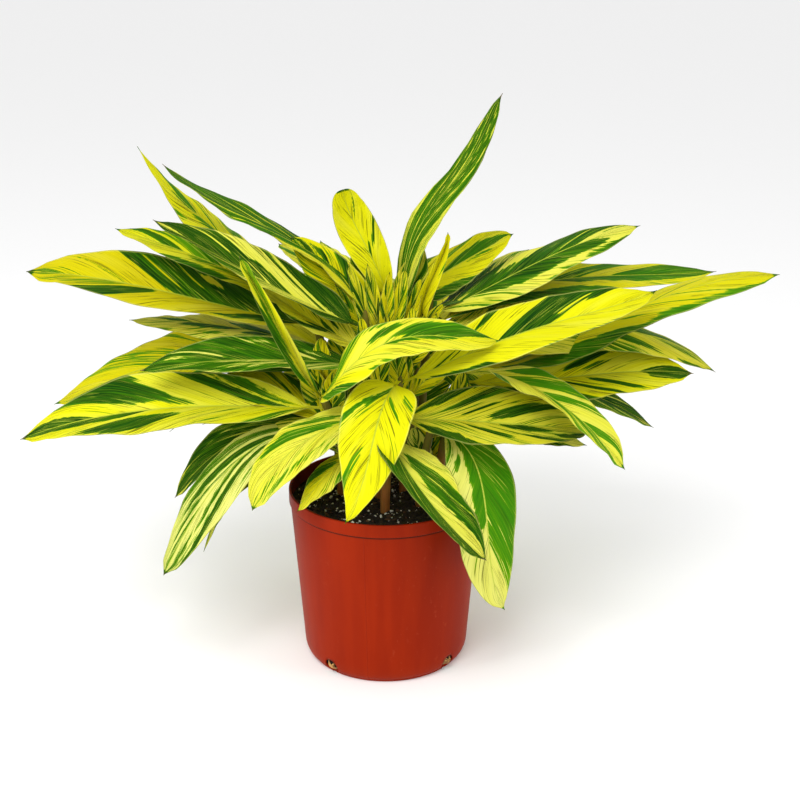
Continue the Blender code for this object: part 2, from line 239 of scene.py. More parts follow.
def pot_profile():
    """From the middle of the inner floor up the inside, over the lip and down to the underside."""
    inside = [(radius, INNER_FLOOR) for radius in (POLE_RADIUS, 0.05, 0.096)]
    inside += [(0.1016, 0.0052), (0.1046, 0.0084), (0.1066, 0.0120), (0.1076, 0.0150)]
    inside += [(inner_wall_radius(height), height)
               for height in (WALL_FOOT_HEIGHT, 0.08, 0.13, 0.18, BAND_FOOT)]
    lip = bend((RIM_RADIUS - POT_LIP + 0.0007, POT_HEIGHT - 0.0007), 0.0007, 180, 90)
    lip += bend((RIM_RADIUS - 0.0009, POT_HEIGHT - 0.0009), 0.0009, 90, 0)
    band = bend((RIM_RADIUS - 0.0007, BAND_FOOT + 0.0016), 0.0007, 0, -80)
    groove = [(WALL_TOP_RADIUS - depth, BAND_FOOT + rise) for depth, rise in
              ((0.0001, 0.0004), (0.0004, -0.0002), (0.0003, -0.0012), (0.0002, -0.0024))]
    wall = [(WALL_TOP_RADIUS + share * (WALL_FOOT_RADIUS - WALL_TOP_RADIUS),
             BAND_FOOT + share * (WALL_FOOT_HEIGHT - BAND_FOOT)) for share in (0.25, 0.5, 0.75, 1)]
    foot = [(0.1109, 0.024), (0.1101, 0.015), (0.1091, 0.0105), (0.1076, 0.0068), (0.1058, 0.0048),
            (0.1038, 0.0036), (FOOT_RADIUS + 0.0002, 0.0024), (FOOT_RADIUS, 0.0010),
            (FOOT_RADIUS - 0.0009, 0), (0.05, 0), (POLE_RADIUS, 0)]
    return inside + lip + band + groove + wall + foot


def cut_drain_holes(pot):
    """Round holes that slope down through the foot's corner, spaced evenly round the pot."""
    straight = turned([(DRAIN_RADIUS, -DRAIN_CUT), (DRAIN_RADIUS, DRAIN_CUT)], DRAIN_SIDES)
    for i in range(DRAIN_COUNT):
        angle = math.radians(DRAIN_FIRST_ANGLE + 360 / DRAIN_COUNT * i)
        outward = Vector((math.cos(angle), math.sin(angle), 0))
        axis = outward * math.cos(DRAIN_SLOPE) - Vector((0, 0, math.sin(DRAIN_SLOPE)))
        turn = np.array(axis.to_track_quat("Z", "Y").to_matrix())
        middle = np.array(outward * FOOT_RADIUS + Vector((0, 0, DRAIN_HEIGHT)))
        cutter = new_piece(f"drain_cutter_{i + 1}", [skin(straight @ turn.T + middle)], [])
        boolean = pot.modifiers.new("drain", "BOOLEAN")
        boolean.operation = "DIFFERENCE"
        boolean.object = cutter
        graph = bpy.context.evaluated_depsgraph_get()
        cut = bpy.data.meshes.new_from_object(pot.evaluated_get(graph))
        pot.modifiers.clear()
        pot.data = cut
        bpy.data.objects.remove(cutter)


def pot_finish():
    """Satin plastic: cloudy flow marks, scuffs that dull it, a mould seam, a fine orange peel, and painted
    shade under the band and inside the rim.
    """
    finish = Finish("red_brown_plastic", Specular_IOR_Level=0.05)
    place = finish.place()
    x, y, z = finish.parts(place)
    cloud = finish.noise(place, scale=9, detail=3, squeeze=(1, 1, 0.5))
    flow = finish.noise(place, scale=60, detail=3, squeeze=(1, 1, 0.06))
    dust = finish.noise(place, scale=150, detail=4, roughness=0.7, squeeze=(1, 1, 0.6))
    scuff = dust.over(0.60, 0.70) * cloud.over(0.45, 0.60)
    low = 1 - z.over(0.0, 0.03)
    across = abs(x * math.sin(SEAM_ANGLE) - y * math.cos(SEAM_ANGLE))
    below_band = 1 - z.over(BAND_FOOT - 0.004, BAND_FOOT)
    seam = (1 - across.over(0.0002, 0.0009)) * (1 - y.over(-0.02, 0)) * below_band
    colour = finish.mix(flow.over(0.35, 0.65) * 0.35 + cloud.over(0.35, 0.65) * 0.25, POT_RED, POT_RED_DEEP)
    colour = finish.mix(scuff * 0.35 + low * 0.10, colour, POT_RED_WORN)
    colour = finish.mix(seam * 0.4, colour, POT_RED_DEEP)
    # Painted shadow: a dark line where the band overhangs the wall.
    groove = z.over(BAND_FOOT - 0.0022, BAND_FOOT - 0.0012) * (1 - z.over(BAND_FOOT, BAND_FOOT + 0.0006))
    colour = finish.mix(groove * 0.8, colour, POT_PAINTED_SHADE)
    # Painted shade: the inner wall above the soil is darkened, cloudy rather than even.
    lip = RIM_RADIUS - POT_LIP
    inside = 1 - (x * x + y * y).over((lip - 0.0002) ** 2, (lip + 0.0003) ** 2)
    inside = inside * z.over(BAND_FOOT - 0.0015, BAND_FOOT)
    colour = finish.mix(inside * (0.55 + 0.35 * cloud), colour, POT_PAINTED_SHADE)
    roughness = 0.36 + 0.14 * cloud + 0.22 * scuff
    peel = finish.noise(place, scale=900, detail=2)
    finish.show(colour, roughness, peel * 0.3 + seam * 0.8 + flow * 0.5, 0.0003)
    return finish


pot = new_piece("pot_dressed", [skin(turned(pot_profile(), POT_SEGMENTS))], [pot_finish()], smooth_angle=50)
cut_drain_holes(pot)
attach(pot, "root")
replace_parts(pot, "pot")

# Roots in the drain holes
# A few pale golden roots that have grown round the bottom of the pot and show in its drain holes.

ROOTS_PER_HOLE = 13
ROOT_RADIUS = 0.0008
ROOT_BULGE = 0.0055
ROOT_LOWEST = 0.0045
ROOT_FROM_FLOOR = 0.1015
ROOT_AT_WALL = 0.106
ROOT_TAN = (0.62, 0.36, 0.11)
ROOT_BROWN = (0.16, 0.06, 0.015)


def tube(path, radii, sides=10):
    """Rings square to a path, from a direction that is carried along it without twisting."""
    along = np.gradient(path, axis=0)
    along /= np.linalg.norm(along, axis=1, keepdims=True)
    helper = np.array([0.13, 0.27, 0.95]) if abs(along[0, 2]) < 0.8 else np.array([0.95, 0.27, 0.13])
    first = np.cross(along, helper)
    first /= np.linalg.norm(first, axis=1, keepdims=True)
    second = np.cross(along, first)
    angle = np.linspace(0, 2 * math.pi, sides, endpoint=False)[:, None]
    ring = first[:, None] * np.cos(angle) + second[:, None] * np.sin(angle)
    return path[:, None] + ring * np.asarray(radii).reshape(-1, 1, 1)


def root_finish():
    """Corky roots, pale on their crowns and brown in their wrinkles."""
    finish = Finish("root", Roughness=0.75)
    place = finish.place()
    wrinkle = finish.noise(place, scale=700, detail=3)
    patch = finish.noise(place, scale=120, detail=2)
    colour = finish.mix(wrinkle.over(0.40, 0.60) * 0.5 + patch.over(0.4, 0.6) * 0.5, ROOT_BROWN, ROOT_TAN)
    finish.show(colour, 0.6 + 0.3 * wrinkle, wrinkle, 0.0006)
    return finish


def root_skins():
    """Arched roots that cross each hole from one side to the other and bulge a little out of it."""
    rng = np.random.default_rng(11)
    skins = []
    bow = np.linspace(-1, 1, 14)
    for hole in range(DRAIN_COUNT):
        middle = math.radians(DRAIN_FIRST_ANGLE + 360 / DRAIN_COUNT * hole)
        for _ in range(ROOTS_PER_HOLE):
            tilt = rng.uniform(-0.9, 0.9)
            swing = bow * rng.uniform(0.06, 0.09)
            angle = middle + swing * math.cos(tilt) + rng.uniform(-0.02, 0.02)
            rise = DRAIN_HEIGHT + rng.uniform(-0.003, 0.003) + 0.009 * bow * math.sin(tilt)
            height = np.maximum(rise + 0.001 * np.sin(3 * bow + rng.uniform(0, 6)), ROOT_LOWEST)
            inner = np.minimum(ROOT_FROM_FLOOR + 0.55 * (height - 0.004), ROOT_AT_WALL)
            from_middle = np.hypot((angle - middle) * FOOT_RADIUS, height - DRAIN_HEIGHT)
            bulge = ROOT_BULGE * np.clip(1 - (from_middle / DRAIN_RADIUS) ** 2, 0, 1)
            radius = inner - 0.0018 * bow**2 - rng.uniform(0.0002, 0.002) + bulge
            path = np.stack([radius * np.cos(angle), radius * np.sin(angle), height], -1)
            thickness = ROOT_RADIUS * rng.uniform(0.6, 1.3) * (1 - 0.5 * bow**2)
            skins.append(skin(tube(path, thickness, sides=8)))
    return skins


roots = new_piece("roots", root_skins(), [root_finish()])
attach(roots, "root")

# Potting mix
# Dark peat-and-bark mix, a little higher in the middle than at the wall, rough with small clods.

SOIL_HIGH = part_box("soil")[1]
SOIL_GAP = 0.0004
SOIL_RADIUS = inner_wall_radius(BAND_FOOT + 0.0005) - SOIL_GAP
SOIL_FLOOR = INNER_FLOOR + SOIL_GAP
SOIL_SEGMENTS = 220
SOIL_RINGS = 84
CLOD_HEIGHT = 0.0022
SOIL_BLACK = (0.010, 0.0075, 0.006)
SOIL_BROWN = (0.045, 0.026, 0.015)


def lumps(x, y, wavelength, rng, waves=14):
    """Soft random lumps between about -1 and 1: a sum of waves of like length in random directions."""
    angle, phase = rng.uniform(0, 2 * math.pi, (2, waves, 1, 1))
    number = 2 * math.pi / (wavelength * rng.uniform(0.7, 1.4, (waves, 1, 1)))
    waved = np.sin(number * (x * np.cos(angle) + y * np.sin(angle)) + phase)
    return waved.sum(0) / math.sqrt(waves)


def soil_height(x, y):
    """The heaped top of the mix, with lumps of three sizes that fade at the wall."""
    rng = np.random.default_rng(5)
    out = np.hypot(x, y) / SOIL_RADIUS
    heap = SOIL_HIGH.z - 0.0052 * out**2 - 0.0012
    rough = 0.50 * lumps(x, y, 0.022, rng) + 0.38 * lumps(x, y, 0.009, rng) + 0.26 * lumps(x, y, 0.0042, rng)
    return heap + CLOD_HEIGHT * rough * np.clip((1 - out) * 12, 0.25, 1)


def soil_rings():
    """The rough top from its middle to the wall, then the plain sides and the bottom of the ball."""
    out = np.linspace(0.004, 1, SOIL_RINGS)
    top = turned([(SOIL_RADIUS * share, 0) for share in out], SOIL_SEGMENTS)
    top[..., 2] = soil_height(top[..., 0], top[..., 1])
    side = [(inner_wall_radius(height) - SOIL_GAP, height)
            for height in (0.21, 0.15, 0.09, WALL_FOOT_HEIGHT)]
    side += [(0.1072, 0.015), (0.1042, 0.0088), (0.0957, SOIL_FLOOR), (POLE_RADIUS, SOIL_FLOOR)]
    return np.concatenate([top, turned(side, SOIL_SEGMENTS)])


def soil_finish():
    """Near-black peat with browner fibres and a little grit, dull and very rough."""
    finish = Finish("potting_mix", Specular_IOR_Level=0.3)
    place = finish.place()
    clod = finish.noise(place, scale=160, detail=5, roughness=0.65)
    grain = finish.noise(place, scale=900, detail=3, roughness=0.6)
    fibre = finish.noise(place, scale=300, detail=3, squeeze=(1, 4, 1))
    colour = finish.mix(clod.over(0.42, 0.66) * 0.6 + fibre.over(0.55, 0.70) * 0.4, SOIL_BLACK, SOIL_BROWN)
    finish.show(colour, 0.82 + 0.16 * grain, clod * 0.7 + grain * 0.4, 0.0025)
    return finish


soil = new_piece("soil_dressed", [skin(soil_rings())], [soil_finish()])
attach(soil, "root")
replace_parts(soil, "soil")

# Perlite and bark on the mix
# White puffed perlite grains and small chips of bark, mixed in and lying on the surface.

PERLITE_COUNT = 420
PERLITE_SIZE = (0.0007, 0.0022)
PERLITE_WHITE = (0.82, 0.80, 0.74)
PERLITE_GREY = (0.42, 0.39, 0.34)
BARK_COUNT = 420
BARK_SIZE = (0.0014, 0.0046)
BARK_RED = (0.090, 0.040, 0.018)
BARK_DARK = (0.018, 0.011, 0.007)


def crumbs(count, size, flatness, seed):
    """Rough little lumps of six by five faces, half sunk in the mix, in random sizes and turns."""
    rng = np.random.default_rng(seed)
    out = SOIL_RADIUS * 0.985 * np.sqrt(rng.uniform(0.002, 1, count))
    angle = rng.uniform(0, 2 * math.pi, count)
    x, y = out * np.cos(angle), out * np.sin(angle)
    reach = rng.uniform(0, 1, count) ** 2 * (size[1] - size[0]) + size[0]
    stretch = rng.uniform(0.7, 1.4, (count, 3)) * np.array([1, 1, flatness])
    spin = rng.uniform(0, 2 * math.pi, count)
    lean = rng.uniform(-0.5, 0.5, count)
    rise = soil_height(x[:, None], y[:, None])[:, 0] + reach * 0.25 * flatness
    latitude = np.radians([-52, -12, 28, 62])[:, None]
    longitude = np.linspace(0, 2 * math.pi, 6, endpoint=False)
    ball = np.stack([np.cos(latitude) * np.cos(longitude), np.cos(latitude) * np.sin(longitude),
                     np.sin(latitude) + 0 * longitude], -1)
    skins = []
    for i in range(count):
        lump = ball * rng.uniform(0.72, 1.25, (4, 6, 1)) * stretch[i] * reach[i]
        tipped = np.array([[1, 0, 0], [0, math.cos(lean[i]), -math.sin(lean[i])],
                           [0, math.sin(lean[i]), math.cos(lean[i])]])
        turn = np.array([[math.cos(spin[i]), -math.sin(spin[i]), 0],
                         [math.sin(spin[i]), math.cos(spin[i]), 0], [0, 0, 1]])
        skins.append(skin(lump @ tipped @ turn + (x[i], y[i], rise[i])))
    return skins


def perlite_finish():
    """White puffed glass, greyed by the mix in its pits."""
    finish = Finish("perlite", Specular_IOR_Level=0.4)
    place = finish.place()
    pit = finish.noise(place, scale=1400, detail=3)
    stain = finish.noise(place, scale=90, detail=2)
    grey = pit.over(0.45, 0.65) * 0.5 + stain.over(0.5, 0.65) * 0.4
    colour = finish.mix(grey, PERLITE_WHITE, PERLITE_GREY)
    finish.show(colour, 0.75 + 0.2 * pit, pit, 0.0006)
    return finish


def bark_finish():
    """Chips of composted bark, from red-brown to nearly black, with a fine grain."""
    finish = Finish("bark", Specular_IOR_Level=0.3)
    place = finish.place()
    chip = finish.noise(place, scale=70, detail=2)
    grain = finish.noise(place, scale=1100, detail=3, squeeze=(1, 0.3, 1))
    colour = finish.mix(chip.over(0.45, 0.62), BARK_DARK, BARK_RED)
    colour = finish.mix(grain.over(0.5, 0.6) * 0.5, colour, BARK_DARK)
    finish.show(colour, 0.7 + 0.25 * grain, grain, 0.0006)
    return finish


perlite = new_piece("perlite", crumbs(PERLITE_COUNT, PERLITE_SIZE, 0.8, 21), [perlite_finish()])
bark = new_piece("bark_chips", crumbs(BARK_COUNT, BARK_SIZE, 0.45, 22), [bark_finish()])
for crumb in (perlite, bark):
    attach(crumb, "root")

# Cane in front on the left
# A false stem of rolled leaf sheaths, tan at its foot and green above, standing in the mix. Its long
# leaves hang out to the left and down over the rim. Every other cane is made by the same functions.

MM = 0.001
GAP = 0.0003
HOLE_BOTTOM = 0.150
CANE_RADIUS = 0.0062
CANE_TIP_RADIUS = 0.0042
STRAIGHT_TO = 0.235
CANE_ROWS = 70
CANE_SIDES = 20
SHEATH_STEP = 0.0011
STALK_SHARE = 0.07
STALK_HALF_WIDTH = 0.003
TIP_HALF_WIDTH = 0.0005
POINT_SHARE = 0.06
DRY_FROM = 0.972
DRY_FADE = 1 / 60
FLAT_TIP = 0.12
DROOP = 0.10
WAVE = 0.05
LEAF_ROWS = 120
LEAF_COLUMNS = 23
LEAF_THICKNESS = 0.0006
GROOVE_DEPTH = 0.0007
RIB_DEPTH = 0.0013
RIB_HALF_WIDTH = 0.0014
BAND_EDGE = 0.012
BAND_FEATHER = 0.22
UP = (0, 0, 1)
FRONT = (0, -1, 0.1)
FRONT_UP = (0, -1, 0.2)
USUAL = (0.7, 0.8)
ROUND_TIPPED = (0.6, 0.45)
BLUNT = (0.7, 0.65)
WIDE_BASED = (0.42, 1.0)
LEMON = (0.66, 0.64, 0.005)
GOLD = (0.55, 0.47, 0.004)
CREAM = (0.70, 0.70, 0.18)
OLIVE = (0.21, 0.27, 0.005)
DASH_OLIVE = (0.075, 0.080, 0.005)
MID_GREEN = (0.040, 0.190, 0.003)
BRIGHT_GREEN = (0.13, 0.31, 0.004)
DARK_GREEN = (0.006, 0.040, 0.003)
LIME = (0.38, 0.46, 0.04)
TIP_BROWN = (0.22, 0.15, 0.08)
SCAR_BROWN = (0.16, 0.10, 0.02)
CANE_TAN = (0.32, 0.11, 0.025)
CANE_GREEN = (0.10, 0.10, 0.006)

# Points are in millimetres, angles in degrees, and what comes after the outline in percent. A leaf has
# the height of its stalk on the cane, the points that its midrib runs through, its width, the way its
# upper face looks, how far its halves fold up and its outline; then how far along the leaf its side
# veins sweep, how gold, pale and deep its colours are, how green its right and left halves are, and
# each half's bands that differ from that: from where to where along the midrib, from where to where
# across the half, and how green.
Leaf = namedtuple("Leaf", "height spine width face fold blade sweep tone green right left",
                  defaults=(USUAL, 29, (20, 10, 40), (30, 30), (), ()))


def unit(vectors):
    return vectors / np.linalg.norm(vectors, axis=-1, keepdims=True)


def cane_points(foot, top, heights):
    """A cane is upright to just above the mix, and from there leans out by height to the power 1.5."""
    foot, top = np.array(foot) * MM, np.array(top) * MM
    lean = np.clip((heights - STRAIGHT_TO) / (top[2] - STRAIGHT_TO), 0, None) ** 1.5
    return np.column_stack([foot + (top[:2] - foot) * lean[:, None], heights])


def through(points, share):
    """The polynomial curve through the points, each at its share of the way along them."""
    steps = np.linalg.norm(np.diff(points, axis=0), axis=1)
    at = np.append(0, np.cumsum(steps)) / steps.sum()
    curve = 0
    for i, point in enumerate(points):
        others = np.delete(at, i)
        curve = curve + np.prod((share[..., None] - others) / (at[i] - others), axis=-1)[..., None] * point
    return curve


def blade_half_width(share, width, blade):
    """A thin stalk, then b^rise (1 - b)^fall scaled to the leaf's width, b running along the blade,
    drawn out to a point at the tip unless that is rounded."""
    rise, fall = blade
    along = np.clip((share - STALK_SHARE) / (1 - STALK_SHARE), 0, 1)
    widest = rise / (rise + fall)
    half = width / 2 * along**rise * (1 - along)**fall / (widest**rise * (1 - widest)**fall)
    if fall > 0.5:
        half = half * np.clip((1 - along) / POINT_SHARE, 0, 1) ** 0.6
    return np.maximum(half, np.where(share < 0.5, STALK_HALF_WIDTH, TIP_HALF_WIDTH))


def vein_shift(outward, sweep):
    """How far up the leaf a side vein has run, as a share of its length, once it is this far out."""
    return sweep * outward * (1.17 - 0.17 * outward)


def vein_rows(across, sweep, rows):
    """Where along the leaf each point of the mesh lies: its rows follow the side veins, except that
    they straighten towards the stalk and the tip."""
    row = np.linspace(0, 1, rows)[:, None]
    straighten = np.clip(np.minimum(row / 0.2, (1 - row) / max(0.45, 1.4 * sweep)), 0, 1)
    return row + straighten * vein_shift(np.abs(across), sweep)


def margin_waves(share, across, rng):
    """Slow ripples of the margins, different on each side, which fade towards the midrib and ends."""
    ripple = 0
    for side in (-1, 1):
        number, phase = rng.uniform(2.2, 4.2), rng.uniform(0, 1, 2)
        size = rng.uniform(0.0008, 0.0022)
        wave = np.sin(2 * math.pi * (number * share + phase[0]))
        wave += 0.5 * np.sin(2 * math.pi * (2.4 * number * share + phase[1]))
        fade = np.sin(math.pi * share) ** 0.7
        ripple = ripple + size * wave * fade * np.clip(side * across, 0, 1) ** 2.2
    return ripple


def own_bands(leaf):
    """A leaf's own bands as shares of one, each after its half: 1 is the right one, -1 the left."""
    halves = ((1, leaf.right), (-1, leaf.left))
    return [(side, *(number / 100 for number in band)) for side, half in halves for band in half]


def chance_bands(green, rng):
    """Bands for a leaf without its own: some in each half, green in a pale leaf and pale in a green one."""
    bands = []
    for side, level in zip((1, -1), green):
        start = rng.uniform(-0.1, 0.15)
        while start < 0.9:
            end = start + rng.uniform(0.02, 0.16)
            inner = rng.choice([-0.3, -0.1, 0.3])
            bands.append((side, start, end, inner, rng.uniform(0.5, 1.4), 0.85 if level < 0.45 else 0.15))
            start = end + rng.uniform(0.04, 0.22)
    return bands


def greenness(start_share, outward, across, green, bands):
    """Each half's own level of green, with each band a patch that runs along the side veins and narrows
    to feathered ends."""
    level = np.where(across > 0, *green) + 0 * start_share
    for side, start, end, inner, outer, strength in bands:
        reach = (outer - inner) / 2
        from_middle = np.abs(outward - (inner + outer) / 2)
        half = (end - start) / 2 * np.sqrt(np.clip(1 - (from_middle / reach) ** 4, 0, 1))
        beside = half - np.abs(start_share - (start + end) / 2)
        inside = np.clip(beside / BAND_EDGE + 0.5, 0, 1)
        inside = inside * np.clip((reach - from_middle) / BAND_FEATHER + 0.5, 0, 1)
        level = level + (strength - level) * inside * (np.sign(across) == side)
    return level


def leaf_skin(start, leaf, rng, rows):
    """A blade folded in a V along its midrib, with drooping waved margins, a groove above the midrib
    and a rib below it. Its upper and lower faces meet at the margins. Marks: where each point lies
    across and along the veins, how green it is, and the leaf's tone."""
    even = np.linspace(-1, 1, LEAF_COLUMNS)
    across = np.sign(even) * np.abs(even) ** 1.5
    outward = np.abs(across)
    sweep = leaf.sweep / 100
    share = vein_rows(across, sweep, rows)
    points = np.vstack([start, np.array(leaf.spine) * MM])
    spine = through(points, share)
    along = unit(through(points, share + 0.001) - through(points, share - 0.001))
    face = np.array(leaf.face, float)
    up = unit(face - (along @ face)[..., None] * along)
    side = np.cross(along, up)
    half = blade_half_width(share, leaf.width * MM, leaf.blade)
    fold = math.radians(leaf.fold) * np.clip((1 - share) / FLAT_TIP, 0, 1)
    wave = WAVE * np.sin(4 * math.pi * share) * across**2 * np.sign(across)
    rise = half * (outward * np.sin(fold) - DROOP * across**2 + wave) + margin_waves(share, across, rng)
    flat = half * across * np.cos(fold)
    surface = spine + side * flat[..., None] + up * rise[..., None]
    normal = unit(np.cross(np.gradient(surface, axis=0), np.gradient(surface, axis=1)))
    normal *= np.sign((normal * up).sum(-1)).mean()
    ends = np.clip(np.minimum(share * 20, (1 - share) * 3), 0, 1)
    rib = np.exp(-(half * across / RIB_HALF_WIDTH) ** 2) * ends
    body = LEAF_THICKNESS / 2 * np.sqrt(1 - across**2)
    upper = surface + normal * (body - GROOVE_DEPTH * rib)[..., None]
    lower = surface - normal * (body + RIB_DEPTH * rib)[..., None]
    length = np.linalg.norm(np.diff(points, axis=0), axis=1).sum()
    shift = vein_shift(outward, sweep)
    started = share - shift
    green = np.array(leaf.green) / 100
    level = greenness(started, outward, across, green, own_bands(leaf) or chance_bands(green, rng))
    level = level + np.clip((share - DRY_FROM) / DRY_FADE, 0, 1)
    blank = np.zeros_like(started)
    seed = rng.uniform(0, 40)
    veins = np.stack([started * length, shift * length + blank, seed + across * 0.3 + blank], -1)
    pattern = np.stack([level, outward + blank, blank + 1], -1)
    tone = np.stack([blank + part / 100 for part in leaf.tone], -1)
    beneath = slice(LEAF_COLUMNS - 2, 0, -1)
    skinned = skin(np.concatenate([upper, lower[:, beneath]], axis=1))
    marks = []
    for mark in (veins, pattern, tone):
        below = mark[:, beneath].copy()
        if mark is pattern:
            below[..., 2] = 0
        ring = np.concatenate([mark, below], axis=1)
        marks.append(np.concatenate([ring.reshape(-1, 3), ring[:1].mean(1), ring[-1:].mean(1)]))
    return skinned, marks


def cane_skin(foot, top, joints):
    """A tapering tube that steps in a little at each height where a sheath opens into its leaf."""
    top_height = top[2] * MM
    heights = np.linspace(HOLE_BOTTOM + GAP, top_height, CANE_ROWS)
    thinned = np.clip((heights - STRAIGHT_TO) / (top_height - STRAIGHT_TO), 0, 1)
    radii = CANE_RADIUS - thinned * (CANE_RADIUS - CANE_TIP_RADIUS)
    for joint in joints:
        below = (joint * MM - heights) / 0.03
        radii = radii + SHEATH_STEP * 0.5 * np.where(below > 0, np.exp(-below), 0)
    radii[-3:] *= (0.9, 0.7, 0.3)
    path = cane_points(foot, top, heights)
    return skin(tube(path, radii, sides=CANE_SIDES))


def leaf_finish():
    """A waxy leaf: green streaks in yellow along the side veins, in four sizes, with olive dashes in the
    yellow, pale lines in the green, a dark margin inside a pale one that is partly painted highlight,
    a pale midrib, a dry brown tip, and a duller underside."""
    finish = Finish("variegated_leaf", Specular_IOR_Level=0.01)
    veins = finish.mark("veins")
    level, outward, upper = finish.parts(finish.mark("pattern"))
    gold, pale, deep = finish.parts(finish.mark("tone"))
    streaks = ((24, 4, 1), (85, 8, 1.3), (230, 15, 1.7), (480, 15, 2.3), (30, 16, 3.1))
    broad, middle, fine, hair, zone = [finish.noise(veins, squeeze=size, detail=1) for size in streaks]
    cloud = finish.noise(veins, squeeze=(12, 12, 1), detail=2)
    green = level + (broad - 0.5) * 0.5 + (middle - 0.5) * 0.8 + (fine - 0.5) * 0.9 + (hair - 0.5) * 0.8
    yellow = finish.mix(gold + (cloud - 0.5) * 0.9, LEMON, GOLD)
    yellow = finish.mix(pale + (broad - 0.5) * 0.6, yellow, CREAM)
    yellow = finish.mix(hair.over(0.40, 0.64) * 0.14, yellow, OLIVE)
    dash = hair.over(0.57, 0.62) * zone.over(0.47, 0.55)
    yellow = finish.mix(dash * 0.8, yellow, DASH_OLIVE)
    body = finish.mix((green - 0.55) * 1.6 + deep - 0.3 + (cloud - 0.5), MID_GREEN, DARK_GREEN)
    body = finish.mix((1 - green.over(0.50, 0.66)) * (1 - deep * 0.6), body, BRIGHT_GREEN)
    body = finish.mix(hair.over(0.45, 0.62) * 0.30, body, BRIGHT_GREEN)
    line = (1 - hair.over(0.35, 0.40)) * (1 - zone.over(0.47, 0.55))
    body = finish.mix(line * 0.7, body, LIME)
    colour = finish.mix(green.over(0.43, 0.465), yellow, OLIVE)
    colour = finish.mix(green.over(0.455, 0.49), colour, body)
    colour = finish.mix((1 - outward.over(0.010, 0.035)) * 0.7, colour, LIME)
    # Partly the leaf's pale margin, partly a painted highlight along its edge.
    colour = finish.mix(outward.over(0.94, 0.965) * 0.3, colour, CREAM)
    colour = finish.mix(outward.over(0.97, 0.99) * (0.35 + cloud.over(0.5, 0.6) * 0.4), colour, DASH_OLIVE)
    colour = finish.mix(level.over(1.1, 1.9) * 0.85, colour, TIP_BROWN)
    under = finish.mix(0.2, colour, OLIVE)
    colour = finish.mix(upper, under, colour)
    relief = hair * 0.5 + fine * 0.8 + middle * 0.6
    finish.show(colour, 0.36 + 0.14 * fine + 0.15 * (1 - upper), relief, 0.0009)
    return finish


def cane_finish():
    """Rolled sheaths: tan and papery at the foot, then a dull yellow-green, with fibres along them."""
    finish = Finish("leaf_sheath", Specular_IOR_Level=0.1)
    place = finish.place()
    height = finish.parts(place)[2]
    fibre = finish.noise(place, scale=500, detail=3, squeeze=(1, 1, 0.05))
    patch = finish.noise(place, scale=60, detail=3, squeeze=(1, 1, 0.5))
    colour = finish.mix((height + patch * 0.04).over(0.265, 0.32), CANE_TAN, CANE_GREEN)
    colour = finish.mix(fibre.over(0.45, 0.60) * 0.5, colour, SCAR_BROWN)
    finish.show(colour, 0.5 + 0.2 * fibre, fibre, 0.0005)
    return finish


LEAF_FINISHES = [leaf_finish(), cane_finish()]


def grow(name, canes, seed, rows=LEAF_ROWS):
    """One piece from canes and their leaves: each cane has its foot, its top and its leaves, and each
    leaf has this many rows of points."""
    rng = np.random.default_rng(seed)
    skins, kinds, marks = [], [], [[], [], []]
    for foot, top, leaves in canes:
        stem = cane_skin(foot, top, [leaf.height for leaf in leaves])
        skins.append(stem)
        kinds += [1] + [0] * len(leaves)
        for kept in marks:
            kept.append(np.tile((0.0, 0.0, 1.0), (len(stem[0]), 1)))
        for leaf in leaves:
            start = cane_points(foot, top, np.array([leaf.height * MM]))[0]
            blade, blade_marks = leaf_skin(start, leaf, rng, rows)
            skins.append(blade)
            for kept, mark in zip(marks, blade_marks):
                kept.append(mark)
    named = dict(zip(("veins", "pattern", "tone"), marks))
    piece = new_piece(name, skins, LEAF_FINISHES, 70, kinds, named)
    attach(piece, "root")
    return piece


def grow_cane(node, foot, top, leaves, seed):
    """A cane with its leaves, which stands for the CAD node of the same name."""
    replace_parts(grow(node + "_dressed", [(foot, top, leaves)], seed), node)


